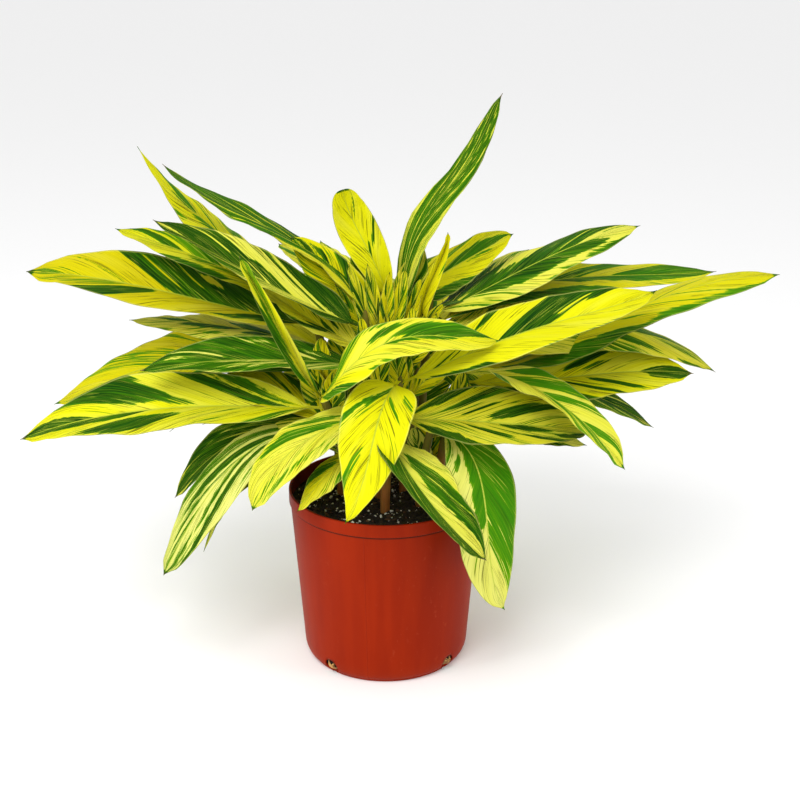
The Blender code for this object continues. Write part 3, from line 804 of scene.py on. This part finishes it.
grow_cane("cane_front_left", (-45, -20), (-80, -35, 375), seed=1, leaves=[
    Leaf(355, [(-174, -40, 362), (-296, -44, 358), (-468, -30, 312)], 115, (-0.1, -0.4, 0.9), 21, sweep=30,
         tone=(0, 10, 60), green=(12, 14), right=[(-1, 8.5, 15, 130, 70), (11, 20, -20, 130, 98),
         (-1, 8, 50, 120, 80), (33, 37, 80, 130, 93), (37, 60, 15, 130, 80), (40, 55, 30, 110, 98),
         (36, 46, 5, 30, 60), (61, 66, 10, 50, 46), (73, 105, -30, 70, 98)], left=[(-12, 0, 40, 110, 55),
         (4, 6, 20, 90, 50), (21, 24, 10, 60, 45), (33, 53, 25, 92, 98), (55, 105, -30, 45, 88)]),
    Leaf(330, [(-158, 0, 366), (-246, 0, 362)], 86, (0.1, -0.3, 1), 18, sweep=35, tone=(60, 0, 90),
         green=(15, 25), right=[(-2, 13, -10, 130, 98), (23, 27, 20, 110, 93)],
         left=[(20, 30, 80, 120, 60)]),
    Leaf(300, [(-154, -60, 320), (-216, -74, 265), (-282, -100, 154)], 72, (-0.5, -0.6, 0.6), -1,
         (0.8, 0.68), sweep=80, tone=(10, 90, 50), green=(30, 26), right=[(10, 32, -30, 60, 93),
         (40, 50, -30, 50, 60), (65, 90, -30, 100, 60), (-30, 0, 30, 120, 60)], left=[(6, 20, 10, 120, 90),
         (30, 42, -30, 50, 78), (38, 80, 30, 130, 72)]),
    Leaf(330, [(-190, -20, 309), (-237, -20, 273), (-276, -20, 226)], 62, (-0.4, -0.5, 0.7), 21, sweep=50,
         tone=(30, 40, 90), green=(82, 78), right=[(20, 35, 60, 72, 20), (42, 52, 70, 120, 30)],
         left=[(50, 90, 50, 120, 25)]),
    Leaf(310, [(-120, -54, 332), (-160, -60, 298), (-202, -70, 246)], 55, (-0.5, -0.5, 0.7), 4, sweep=40,
         tone=(50, 20, 80), green=(50, 60)),
    Leaf(290, [(-190, 0, 264), (-218, -10, 212), (-242, -20, 148)], 36, (-0.8, -0.3, 0.5), -4, sweep=40,
         tone=(30, 40, 70), green=(62, 55)),
    Leaf(320, [(-172, 30, 328), (-244, 40, 306)], 40, (-0.1, -0.2, 1), 0, tone=(30, 30, 60),
         green=(50, 50)),
    Leaf(370, [(-114, -74, 444), (-146, -74, 510), (-174, -60, 560)], 40, (0.2, -1, 0), 61, sweep=40,
         tone=(25, 10, 30), green=(25, 30), right=[(-30, -5, -20, 120, 88), (0, 40, -30, 120, 10),
         (45, 72, 15, 120, 60), (68, 105, -30, 90, 60)], left=[(-10, 20, 40, 110, 86),
         (16, 44, 30, 120, 98), (30, 60, 5, 50, 74), (62, 105, -30, 90, 60), (40, 58, 60, 120, 10)]),
    Leaf(375, [(-48, -84, 422), (14, -100, 468), (78, -100, 472), (140, -90, 464)], 76, (-0.4, -0.4, 0.8),
         8, (0.45, 0.75), sweep=24, tone=(5, 10, 10), green=(20, 16), right=[(-5, 11, 40, 110, 97),
         (48, 79, -50, 26, 80), (20, 30, 75, 120, 50)], left=[(-40, 20, -40, 150, 56), (31, 42, 30, 75, 88),
         (20, 30, 75, 120, 50), (49, 58, 10, 80, 74), (56, 82, -50, 150, 95)]),
])

# Cane on the left
# The cane behind it, which carries the long leaves at the picture's left edge.

grow_cane("cane_left", (-60, 35), (-95, 50, 470), seed=2, leaves=[
    Leaf(440, [(-240, 50, 475), (-354, 50, 501), (-462, 50, 513)], 121, (0.2, -0.3, 0.9), 19, BLUNT,
         sweep=22, tone=(85, 0, 70), green=(8, 10), right=[(-25, 22, -30, 130, 98), (22, 51, -30, 130, 88),
         (20, 26, 50, 85, 10), (31.8, 32.8, 30, 110, 15), (42.8, 43.8, 20, 100, 15),
         (66, 67.5, -10, 80, 47), (80, 105, -20, 50, 47)], left=[(-30, 18, -40, 70, 93),
         (8, 18, 60, 85, 98), (50, 62, 5, 130, 92), (64, 105, -20, 90, 42)]),
    Leaf(370, [(-226, 60, 398), (-342, 74, 367), (-450, 80, 320)], 112, (-0.2, -0.3, 0.9), 12, sweep=28,
         tone=(70, 0, 10), green=(15, 22), right=[(24, 32, 20, 130, 52), (43, 64, -30, 130, 50)],
         left=[(-20, 20, 20, 120, 98), (45, 62, 10, 120, 52)]),
    Leaf(410, [(-222, 50, 442), (-338, 70, 442)], 75, (0.1, -0.1, 1), 0, sweep=25, tone=(50, 30, 50),
         green=(25, 30), right=[(15, 40, -30, 50, 90), (66, 78, -20, 50, 75)], left=[(22, 33, -30, 40, 95),
         (40, 66, -10, 35, 90), (30, 45, 50, 70, 60), (50, 58, 80, 120, 60)]),
    Leaf(450, [(-188, 64, 504), (-268, 80, 534), (-354, 100, 558)], 80, (0.3, -0.3, 0.9), 16, sweep=25,
         tone=(10, 10, 40), green=(20, 25), right=[(45, 64, -30, 130, 60), (66, 76, -30, 110, 88),
         (64.2, 65.8, 10, 60, 5)], left=[(-10, 60, -30, 40, 55), (20, 50, 60, 130, 88)]),
    Leaf(465, [(-175, 80, 524), (-241, 100, 573), (-322, 120, 662)], 88, (0.6, -0.2, 0.8), 0, (0.7, 1.3),
         sweep=20, tone=(0, 5, 10), green=(10, 10), right=[(26, 38, 30, 130, 70), (40, 42, 30, 120, 50),
         (50, 53, -10, 120, 50), (62, 74, -30, 120, 78)], left=[(48, 60, -30, 35, 70),
         (62, 76, -30, 20, 78), (45, 52, 70, 130, 50)]),
    Leaf(360, [(-200, 88, 400), (-306, 126, 370)], 70, UP, 14, tone=(50, 10, 60), green=(35, 45)),
    # Painted shade: its high gold and deep tones darken this leaf inside the plant.
    Leaf(300, [(-84, 60, 345), (-102, 70, 395)], 70, FRONT_UP, 14, tone=(50, 10, 90), green=(60, 50)),
])

# Cane in the middle
# Its four leaves fan out to the upper left.

grow_cane("cane_centre", (-20, 5), (-25, 5, 475), seed=3, leaves=[
    Leaf(400, [(-126, -20, 416), (-200, -34, 420), (-304, -50, 412)], 80, (0.1, -0.3, 0.9), 23, sweep=31,
         tone=(15, 60, 60), green=(85, 68), right=[(10, 14, 25, 55, 10), (18, 22, 10, 45, 10),
         (20, 30, 70, 85, 30), (49.5, 50.5, 30, 80, 30), (57.5, 60, 10, 90, 5), (68, 72, 30, 60, 30)],
         left=[(-30, 12, -30, 130, 48), (12, 45, 30, 48, 30), (35, 62, 4, 20, 20), (20, 60, 50, 70, 52),
         (30, 50, 72, 86, 98), (25, 50, 88, 130, 40)]),
    Leaf(450, [(-112, 0, 492), (-178, -10, 532), (-282, -20, 596)], 90, (0.5, -0.3, 0.8), 29, (0.5, 0.8),
         sweep=36, tone=(10, 35, 100), green=(20, 35), right=[(-35, 13, -30, 140, 98),
         (17, 20.5, -30, 130, 93), (33, 44, -30, 50, 93), (40, 52, 30, 120, 96), (45, 86, -40, 130, 94),
         (51.5, 54, 30, 100, 5), (25, 26, 60, 110, 60)], left=[(-30, 5, -30, 130, 98),
         (30, 50, 30, 120, 60), (52, 85, -20, 120, 78)]),
    Leaf(465, [(-82, 40, 531), (-178, 54, 586), (-282, 70, 648)], 62, (0.5, -0.1, 0.9), 7, sweep=42,
         tone=(40, 15, 40), green=(95, 92), right=[(-10, 6, -20, 40, 20), (19, 21, -10, 90, 20),
         (34.5, 36.5, -10, 80, 20), (53, 57, -10, 60, 42), (60, 80, 55, 120, 30)],
         left=[(-30, 10, -20, 130, 20), (28, 30, -10, 120, 25), (42, 48, 10, 120, 40)]),
    Leaf(420, [(-108, 14, 468), (-156, 20, 500)], 60, (0.4, -0.5, 0.8), 25, sweep=40, tone=(40, 10, 80),
         green=(15, 15), right=[(12, 20, 30, 90, 88), (27, 38, -30, 25, 98), (38, 41, 20, 50, 88),
         (50, 53, 10, 50, 60)], left=[(26, 38, -30, 50, 98), (18, 30, 30, 130, 98), (30, 36, 70, 120, 88)]),
])

# Tall cane at the back
# The tallest cane, with the upright lemon leaf and the long slender one above all the others.

grow_cane("cane_tall", (0, 55), (5, 60, 520), seed=4, leaves=[
    Leaf(460, [(-76, 130, 498), (-150, 200, 514)], 80, (0.2, -0.2, 1), 11, sweep=64, tone=(10, 20, 30),
         green=(30, 25), right=[(10, 30, 30, 120, 78), (34, 50, -20, 120, 80)],
         left=[(30, 60, 20, 110, 73)]),
    Leaf(480, [(-48, 130, 488), (-92, 210, 516)], 60, (0.2, -0.1, 1), 6, sweep=40, tone=(5, 30, 30),
         green=(20, 30)),
    Leaf(470, [(-2, 54, 494), (-31, 50, 560), (-52, 20, 625)], 54, (0.2, -1, 0), 19, ROUND_TIPPED, sweep=40,
         tone=(0, 0, 50), green=(5, 0), right=[(26, 30.5, 40, 120, 93), (30, 33.5, 25, 60, 78),
         (37, 42, -20, 28, 88), (64, 69, 10, 60, 46), (41, 43, 70, 90, 50), (5, 7, 30, 80, 45)],
         left=[(39.5, 42, -20, 20, 78), (-2, 0, 50, 90, 50)]),
    Leaf(440, [(24, 58, 500), (42, 60, 565), (76, 52, 617), (122, 40, 690), (144, 30, 741)], 50,
         (-0.7, -0.6, 0.4), 0, (0.5, 0.7), sweep=80, tone=(5, 30, 40), green=(80, 80),
         right=[(-45, -15, -30, 130, 30), (13, 17, -30, 130, 10), (38, 40, -30, 130, 20),
         (56, 61, -30, 130, 30)], left=[(-45, -20, -30, 130, 30), (13, 17, -30, 130, 10),
         (36, 38, -30, 130, 20), (55, 63, -30, 130, 30)]),
    Leaf(460, [(70, 112, 490), (118, 114, 519), (168, 100, 551)], 94, (-0.4, -0.4, 0.8), 4, sweep=42,
         tone=(35, 5, 40), green=(16, 18), right=[(-30, 28, 50, 130, 98), (28, 36, 40, 80, 50),
         (58, 75, 4, 25, 58)], left=[(-10, 10, 50, 120, 93), (25, 32, 20, 120, 78), (43, 85, -40, 60, 86)]),
    Leaf(440, [(10, 238, 450), (16, 388, 400)], 90, UP, 18, tone=(30, 10, 50), green=(30, 50),
         right=[(10, 30, 0, 120, 88)], left=[(40, 60, 0, 120, 15)]),
    Leaf(440, [(-20, 70, 500), (-32, 74, 560)], 50, FRONT, 20, sweep=40, tone=(30, 20, 50), green=(45, 40)),
    Leaf(430, [(26, 64, 475), (46, 68, 545)], 46, FRONT, 20, sweep=40, tone=(30, 20, 60), green=(40, 55)),
])

# Cane in front
# Its bright leaves hang over the rim towards the viewer, and its longest one reaches out to the right.

grow_cane("cane_front", (0, -55), (20, -65, 410), seed=5, leaves=[
    Leaf(400, [(68, -74, 426), (140, -74, 458), (240, -70, 490), (330, -60, 518)], 110, (-0.3, -0.3, 0.9),
         14, sweep=24, tone=(0, 0, 85), green=(8, 5), right=[(-10, 15, 75, 130, 93), (30, 60, 88, 130, 60),
         (42, 44, 25, 50, 55), (62, 64, 25, 36, 55)], left=[(13, 16, -10, 40, 78), (18, 21, 0, 30, 60),
         (15.5, 21, 60, 130, 83), (38.5, 60, -30, 140, 98), (56.5, 58, 20, 90, 15),
         (60, 64.5, 50, 130, 93)]),
    Leaf(405, [(2, -100, 392), (-14, -150, 352), (-46, -190, 268)], 95, (-0.2, -0.7, 0.7), 18, WIDE_BASED,
         sweep=34, tone=(0, 0, 20), green=(12, 11), right=[(5, 9, 30, 130, 80), (9, 14, -20, 45, 93),
         (13, 15, 20, 70, 50), (17, 18.5, 30, 70, 50), (42, 50, 20, 130, 70), (54, 55.5, 30, 90, 45)],
         left=[(-6, 1, 50, 100, 58), (13, 16.5, 5, 70, 70), (33, 34.5, 50, 100, 50)]),
    Leaf(360, [(-78, -84, 344), (-116, -100, 323), (-162, -130, 258)], 80, (-0.3, -0.4, 0.9), 8, BLUNT,
         sweep=45, tone=(0, 25, 20), green=(15, 18), right=[(6, 18, 30, 90, 70), (22, 40, 0, 90, 80),
         (50, 52, 20, 60, 50), (88, 105, -20, 100, 60)], left=[(15, 65, 58, 76, 70), (60, 100, 20, 50, 60),
         (10, 30, 30, 36, 55)]),
    Leaf(310, [(-62, -94, 300), (-82, -110, 284), (-108, -120, 252)], 55, (-0.3, -0.2, 0.9), 3, sweep=30,
         tone=(35, 5, 20), green=(30, 18), right=[(32, 52, 20, 130, 82), (60, 64, 10, 80, 50)],
         left=[(30, 38, 40, 130, 70)]),
    Leaf(330, [(34, -166, 317), (65, -205, 289), (118, -254, 252)], 103, (0.5, -0.2, 0.9), 24, sweep=60,
         tone=(5, 40, 50), green=(95, 12), right=[(20, 21.5, 10, 90, 10), (85, 110, -30, 120, 15),
         (42, 43, 30, 120, 20)], left=[(5, 50, 14, 120, 95), (22, 23.5, 30, 100, 20),
         (-8, -4, 30, 100, 50)]),
    Leaf(352, [(106, -76, 355), (180, -80, 351), (256, -54, 338)], 110, (0, -0.4, 0.9), 20, sweep=42,
         tone=(45, 15, 90), green=(32, 30), right=[(-20, 5, 60, 130, 98), (25, 32, 20, 70, 83),
         (38, 44, 50, 130, 88), (47, 64, 4, 35, 93), (48, 60, 60, 130, 88)], left=[(-20, -2, 50, 130, 98),
         (8, 16, 30, 110, 80), (25, 28, 15, 60, 98), (30, 34, 50, 80, 60), (38, 52, 10, 85, 98)]),
])

# Short cane in front on the right
# A young cane with two leaves, one of which hangs down across the pot.

grow_cane("cane_front_right", (45, -30), (60, -48, 340), seed=6, leaves=[
    Leaf(320, [(190, -50, 330), (256, -50, 312)], 70, (0, -0.1, 1), 5, sweep=30, tone=(20, 50, 80),
         green=(25, 30), right=[(40, 62, 50, 130, 88)], left=[(35, 60, 10, 90, 93)]),
    Leaf(330, [(97, -68, 322), (127, -109, 240), (150, -145, 129)], 108, (0.6, -0.7, 0.4), 4, (0.7, 0.92),
         sweep=27, tone=(0, 72, -25), green=(10, 6), right=[(6, 55, -40, 36, 84), (7, 14, 45, 70, 80),
         (-10, 0, 40, 120, 60)], left=[(-10, 55, -40, 160, 88), (54, 66, -30, 140, 56)]),
])

# Cane on the right
# It carries the longest leaf, which reaches the picture's right edge.

grow_cane("cane_right", (70, 5), (110, 0, 430), seed=7, leaves=[
    Leaf(400, [(222, 0, 430), (322, 0, 481), (408, 0, 511), (494, 0, 522)], 98, (-0.5, -0.1, 0.9), -4,
         BLUNT, sweep=25, tone=(45, 0, 10), green=(8, 8), right=[(-5, 33, 30, 140, 98),
         (32, 80, 70, 130, 74), (42, 45, 20, 50, 46), (74, 100, 84, 140, 83), (55, 56.5, -10, 90, 50),
         (66, 67.2, -10, 90, 55)], left=[(10, 20, -20, 60, 60), (60, 62, -20, 80, 55),
         (74, 75.5, -20, 90, 55), (30, 98, 93, 130, 74)]),
    Leaf(390, [(188, -74, 396), (248, -104, 359), (293, -124, 310)], 86, (0.4, -0.2, 0.9), 19, BLUNT,
         sweep=26, tone=(0, 30, -15), green=(13, 12), right=[(2, 12, 10, 130, 78), (42, 75, -30, 130, 58),
         (88, 105, -20, 120, 50)], left=[(10, 24, 30, 130, 98), (26, 41, -30, 140, 70),
         (46, 54.5, -40, 140, 70), (69, 80, -30, 110, 76), (88, 105, -20, 120, 50)]),
    Leaf(380, [(226, 4, 384), (308, 4, 392), (398, 10, 388)], 105, (-0.1, -0.4, 0.9), 11, sweep=30,
         tone=(10, 5, 80), green=(12, 12), right=[(20, 28, 50, 130, 98), (36, 40, 10, 120, 93),
         (43, 44, 30, 80, 60), (47.5, 53, 10, 90, 86), (69, 80, 20, 110, 90), (75, 105, -30, 50, 98),
         (5, 15, 30, 120, 93)], left=[(35, 42, 20, 85, 98), (45, 51, 10, 50, 60), (60, 61.5, 30, 90, 55),
         (76, 105, -30, 85, 98)]),
    Leaf(405, [(264, 20, 448), (344, 40, 430), (436, 50, 376)], 92, (0.3, -0.2, 1), -6, sweep=35,
         tone=(40, 20, 60), green=(28, 40), right=[(38, 50, -10, 75, 78), (50, 62, 75, 130, 85),
         (68, 90, 60, 130, 88), (50, 80, 35, 60, 10), (70, 85, -10, 30, 60), (20, 30, 30, 120, 60)],
         left=[(45, 70, -10, 80, 76), (-20, 20, -20, 130, 40)]),
    Leaf(350, [(270, 44, 348), (316, 50, 325), (360, 54, 296)], 68, (0.3, -0.2, 0.9), 10, sweep=30,
         tone=(20, 40, 80), green=(52, 82), right=[(40, 60, 50, 130, 53), (50, 85, -30, 45, 98)],
         left=[(60, 62, 20, 90, 20)]),
])

# Tall cane on the right
# Leaves that stand up in the middle of the plant and spread behind the long ones on the right.

grow_cane("cane_right_tall", (45, 50), (60, 60, 490), seed=8, leaves=[
    Leaf(450, [(48, 44, 458), (64, 46, 512), (80, 50, 564)], 44, (-0.1, -1, -0.1), 64, (0.45, 1.0),
         tone=(45, 0, 30), green=(6, 3), right=[(30, 42, 60, 120, 50)]),
    Leaf(460, [(112, 90, 478), (154, 130, 500), (196, 170, 513)], 66, (-0.3, -0.1, 0.9), 3, BLUNT, sweep=40,
         tone=(20, 50, 60), green=(45, 42), right=[(-30, 18, -30, 130, 98), (5, 7, -10, 120, 20)],
         left=[(-30, 18, -30, 130, 98), (5, 7, -10, 120, 20), (20, 50, 20, 60, 98), (45, 70, 50, 130, 30)]),
    Leaf(450, [(174, 70, 508), (256, 80, 544), (332, 90, 564)], 90, (-0.4, -0.3, 0.9), -1, sweep=24,
         tone=(15, 40, 50), green=(25, 22), right=[(20, 77, -60, 62, 98), (50, 72, 70, 130, 80),
         (0, 10, 10, 120, 60), (14, 18, 20, 120, 60), (30, 50, 85, 130, 50)], left=[(-5, 20, 30, 130, 86),
         (12, 45, -30, 62, 98), (37, 71, -40, 150, 98), (59, 60, 10, 90, 12), (75, 78, 20, 110, 70)]),
    Leaf(430, [(204, 90, 488), (328, 120, 490), (448, 140, 490)], 90, (0, -0.2, 1), 6, sweep=22,
         tone=(40, 5, 20), green=(14, 16), right=[(-10, 42, 50, 140, 98), (42, 53, -30, 40, 83),
         (50, 97, -50, 60, 88)], left=[(43, 53, -30, 130, 86), (63, 97, -40, 150, 88),
         (10, 30, 30, 120, 88)]),
    Leaf(430, [(204, 74, 460), (284, 90, 474)], 80, (-0.2, -0.3, 1), 9, sweep=20, tone=(60, 10, 50),
         green=(28, 32)),
    # Painted shade: its high gold and deep tones darken this leaf inside the plant.
    Leaf(385, [(126, 46, 372), (214, 56, 340)], 75, (0.2, -0.6, 0.8), 9, sweep=30, tone=(50, 10, 90),
         green=(70, 45)),
    Leaf(385, [(198, 90, 404), (316, 120, 360)], 75, UP, 14, tone=(40, 20, 60), green=(40, 50)),
])

# Cane at the back on the left
# The plant's rear half on this side, with one short leaf that fills its middle.

grow_cane("cane_rear_left", (-35, 75), (-55, 120, 400), seed=9, leaves=[
    Leaf(390, [(-126, 300, 414), (-186, 450, 340)], 105, UP, 18, tone=(10, 10, 50), green=(10, 15),
         right=[(5, 30, 0, 130, 93), (52, 70, 0, 130, 73)], left=[(20, 50, 0, 130, 88)]),
    Leaf(370, [(-220, 208, 384), (-360, 288, 310)], 100, UP, 18, sweep=45, tone=(30, 10, 60),
         green=(20, 12), right=[(20, 50, 0, 130, 88)], left=[(0, 20, 0, 130, 93), (50, 80, 0, 130, 78)]),
    Leaf(340, [(-202, 120, 324), (-306, 136, 258)], 85, UP, 14, tone=(40, 20, 60), green=(35, 45)),
    Leaf(320, [(-132, 208, 316), (-206, 304, 220)], 80, UP, 14, tone=(20, 30, 50), green=(50, 25),
         left=[(20, 50, 0, 130, 88)]),
    Leaf(300, [(-38, 240, 296), (-38, 366, 200)], 80, UP, 14, tone=(10, 30, 40), green=(15, 30),
         right=[(10, 40, 0, 130, 88)], left=[(40, 65, 0, 130, 83)]),
    # Painted shade: its high gold and deep tones darken this leaf in the middle of the plant.
    Leaf(300, [(-38, 100, 360), (-36, 110, 450)], 96, FRONT_UP, 14, sweep=35, tone=(50, 10, 90),
         green=(60, 65)),
])

# Cane at the back on the right
# The rear half on the other side, with two short leaves in the plant's middle.

grow_cane("cane_rear_right", (30, 85), (50, 130, 410), seed=10, leaves=[
    Leaf(400, [(130, 308, 414), (196, 456, 330)], 105, UP, 18, tone=(20, 10, 50), green=(12, 10),
         right=[(10, 40, 0, 130, 93)], left=[(35, 65, 0, 130, 88), (0, 10, 0, 130, 78)]),
    Leaf(370, [(210, 226, 384), (344, 316, 310)], 100, UP, 18, tone=(10, 5, 40), green=(15, 20),
         right=[(40, 70, 0, 130, 88)], left=[(10, 35, 0, 130, 93)]),
    Leaf(350, [(192, 124, 334), (302, 136, 250)], 85, UP, 14, tone=(40, 10, 60), green=(45, 30)),
    Leaf(330, [(140, 214, 316), (220, 304, 220)], 80, UP, 14, tone=(30, 30, 50), green=(30, 60)),
    Leaf(310, [(62, 234, 350), (82, 344, 270)], 75, UP, 14, tone=(10, 20, 40), green=(20, 20),
         right=[(20, 45, 0, 130, 88)], left=[(50, 75, 0, 130, 78)]),
    # Painted shade: its high gold and deep tones darken this leaf in the middle of the plant.
    Leaf(300, [(50, 108, 350), (64, 116, 440)], 88, FRONT_UP, 14, sweep=35, tone=(50, 10, 90),
         green=(65, 55)),
    # Painted shade: its high gold and deep tones darken this leaf in the middle of the plant.
    Leaf(262, [(66, 94, 292), (102, 104, 334)], 74, (0, -1, 0.3), 10, sweep=35, tone=(60, 10, 90),
         green=(70, 60)),
])

# Young shoots in the middle
# Five short shoots whose narrow, half-rolled leaves fan out and close the heart of the plant.
# Their high gold and deep tones darken them: painted shade for the inside of the clump.

SHORT_LEAF_ROWS = 76
HEART_SHOOTS = [
    ((0, 24), (-2, 30, 430), [
        Leaf(395, [(-30, 32, 440), (-64, 36, 500)], 26, FRONT_UP, 30, tone=(60, 0, 90), green=(40, 50)),
        Leaf(405, [(-22, 28, 456), (-46, 28, 528)], 24, FRONT_UP, 30, tone=(50, 10, 90), green=(50, 30)),
        Leaf(410, [(-10, 26, 460), (-22, 24, 530)], 22, FRONT_UP, 30, tone=(60, 0, 90), green=(30, 50)),
        Leaf(415, [(2, 24, 465), (6, 20, 520)], 22, FRONT_UP, 30, tone=(80, 0, 90), green=(45, 30)),
        Leaf(405, [(14, 26, 460), (26, 24, 524)], 24, FRONT_UP, 30, tone=(60, 0, 90), green=(50, 30)),
        Leaf(395, [(24, 30, 446), (46, 32, 510)], 26, FRONT_UP, 30, tone=(70, 0, 90), green=(35, 50)),
        Leaf(385, [(30, 24, 430), (34, 26, 474)], 26, FRONT_UP, 26, tone=(50, 0, 90), green=(50, 30)),
        Leaf(380, [(50, 30, 424), (66, 34, 462)], 28, FRONT_UP, 26, tone=(70, 0, 90), green=(40, 50)),
        Leaf(385, [(34, 34, 426), (76, 40, 474)], 28, FRONT_UP, 30, tone=(60, 0, 90), green=(50, 35)),
        Leaf(385, [(-38, 36, 426), (-84, 44, 478)], 28, FRONT_UP, 30, tone=(60, 0, 90), green=(50, 40)),
        Leaf(400, [(-60, 40, 496), (-120, 46, 560)], 66, (0.2, -1, 0.4), 18, tone=(40, 0, 80),
             green=(30, 50)),
    ]),
    ((24, 12), (30, 14, 392), [
        Leaf(330, [(10, 12, 380), (-6, 12, 440)], 30, FRONT, 24, tone=(70, 0, 100), green=(60, 40)),
        Leaf(340, [(24, 10, 390), (16, 8, 450)], 28, FRONT, 24, tone=(60, 0, 100), green=(40, 60)),
        Leaf(350, [(62, 16, 388), (100, 20, 426)], 34, (0, -1, 0.3), 18, tone=(60, 0, 100), green=(50, 40)),
        Leaf(345, [(16, 2, 390), (14, -2, 448)], 30, FRONT, 20, tone=(70, 0, 100), green=(40, 50)),
    ]),
    ((-8, -12), (-14, -10, 402), [
        Leaf(350, [(-22, -12, 418), (-30, -14, 472)], 28, FRONT, 24, tone=(70, 0, 100), green=(50, 40)),
        Leaf(340, [(-6, -14, 400), (4, -14, 452)], 26, FRONT, 24, tone=(60, 0, 100), green=(40, 60)),
    ]),
    ((-58, 4), (-74, 0, 372), [
        Leaf(318, [(-84, 0, 356), (-104, 2, 408)], 40, (0.1, -1, 0.2), 20, tone=(50, 10, 80),
             green=(30, 50)),
        Leaf(330, [(-78, 2, 380), (-82, 4, 440)], 36, FRONT_UP, 20, tone=(70, 0, 80), green=(20, 35)),
        Leaf(310, [(-68, -4, 350), (-58, -6, 404)], 36, FRONT_UP, 20, tone=(60, 0, 100), green=(50, 30)),
    ]),
    ((56, 16), (62, 16, 310), [
        Leaf(250, [(60, 10, 290), (48, 6, 340)], 34, FRONT, 24, tone=(60, 0, 100), green=(60, 60)),
        Leaf(260, [(72, 12, 296), (86, 10, 344)], 34, FRONT, 24, tone=(60, 0, 100), green=(70, 50)),
        Leaf(245, [(48, 2, 272), (36, -8, 322)], 34, FRONT, 16, tone=(30, 50, 100), green=(30, 60)),
        Leaf(290, [(86, -2, 340), (100, -14, 402)], 38, FRONT, 16, tone=(50, 0, 100), green=(70, 40)),
    ]),
]

grow("heart_leaves", HEART_SHOOTS, 11, SHORT_LEAF_ROWS)

# Room
# A plain white floor under an even pale sky, with a broad soft lamp above the viewer's left shoulder
# and a tall one on each side, which draw the pale streaks down the pot.

FLOOR_HALF = 30.0
FLOOR_WHITE = (0.96, 0.96, 0.96)
FLOOR_GREY = (0.85, 0.85, 0.85)
SKY_STRENGTH = 0.9


def soft_lamp(name, place, target, size, power):
    """A rectangular lamp at a place, turned to face a target, of a size in metres and watts."""
    data = bpy.data.lights.new(name, "AREA")
    data.shape = "RECTANGLE"
    data.size, data.size_y = size
    data.energy = power
    lamp = bpy.data.objects.new(name, data)
    lamp.location = place
    lamp.rotation_euler = (Vector(target) - Vector(place)).to_track_quat("-Z", "Y").to_euler()
    bpy.context.scene.collection.objects.link(lamp)


def floor_finish():
    """Matt white board with the least unevenness in its sheen."""
    finish = Finish("white_board", Specular_IOR_Level=0.1)
    place = finish.place()
    tooth = finish.noise(place, scale=40, detail=3)
    finish.show(finish.mix(tooth * 0.02, FLOOR_WHITE, FLOOR_GREY), 0.8 + 0.1 * tooth, tooth, 0.0001)
    return finish


def floor_skin():
    """A thin square slab whose top is where the pot stands."""
    corners = np.array([(-1, -1), (1, -1), (1, 1), (-1, 1)]) * FLOOR_HALF
    levels = [np.column_stack([corners, np.full(4, level)]) for level in (-0.0001, -0.02)]
    return skin(np.array(levels))


floor = new_piece("floor", [floor_skin()], [floor_finish()], smooth_angle=30)
world = bpy.data.worlds.new("pale_room")
world.use_nodes = True
world.node_tree.nodes["Background"].inputs["Color"].default_value = (1, 1, 1, 1)
world.node_tree.nodes["Background"].inputs["Strength"].default_value = SKY_STRENGTH
bpy.context.scene.world = world
soft_lamp("key", (-0.7, -1.9, 2.6), (0, 0, 0.35), (1.8, 1.4), 55)
soft_lamp("left_strip", (-1.5, -0.9, 0.5), (0, 0, 0.2), (0.35, 1.5), 9)
soft_lamp("right_strip", (1.6, -0.7, 0.5), (0, 0, 0.2), (0.35, 1.5), 7)
bpy.context.scene.view_settings.view_transform = "Standard"

# Camera
# The photograph's own view: about twenty degrees above level, from 1.8 m away, with a short tele lens.

CAMERA_PLACE = (0.0192, -1.6512, 0.9526)
CAMERA_PITCH = 19.89
SENSOR_WIDTH = 36
FOCAL_PIXELS = 1359
IMAGE_PIXELS = 800
lens = bpy.data.cameras.new("photo_view")
lens.sensor_width = SENSOR_WIDTH
lens.lens = SENSOR_WIDTH * FOCAL_PIXELS / IMAGE_PIXELS
camera = bpy.data.objects.new("photo_view", lens)
camera.location = CAMERA_PLACE
camera.rotation_euler = (math.radians(90 - CAMERA_PITCH), 0, 0)
bpy.context.scene.collection.objects.link(camera)
bpy.context.scene.camera = camera
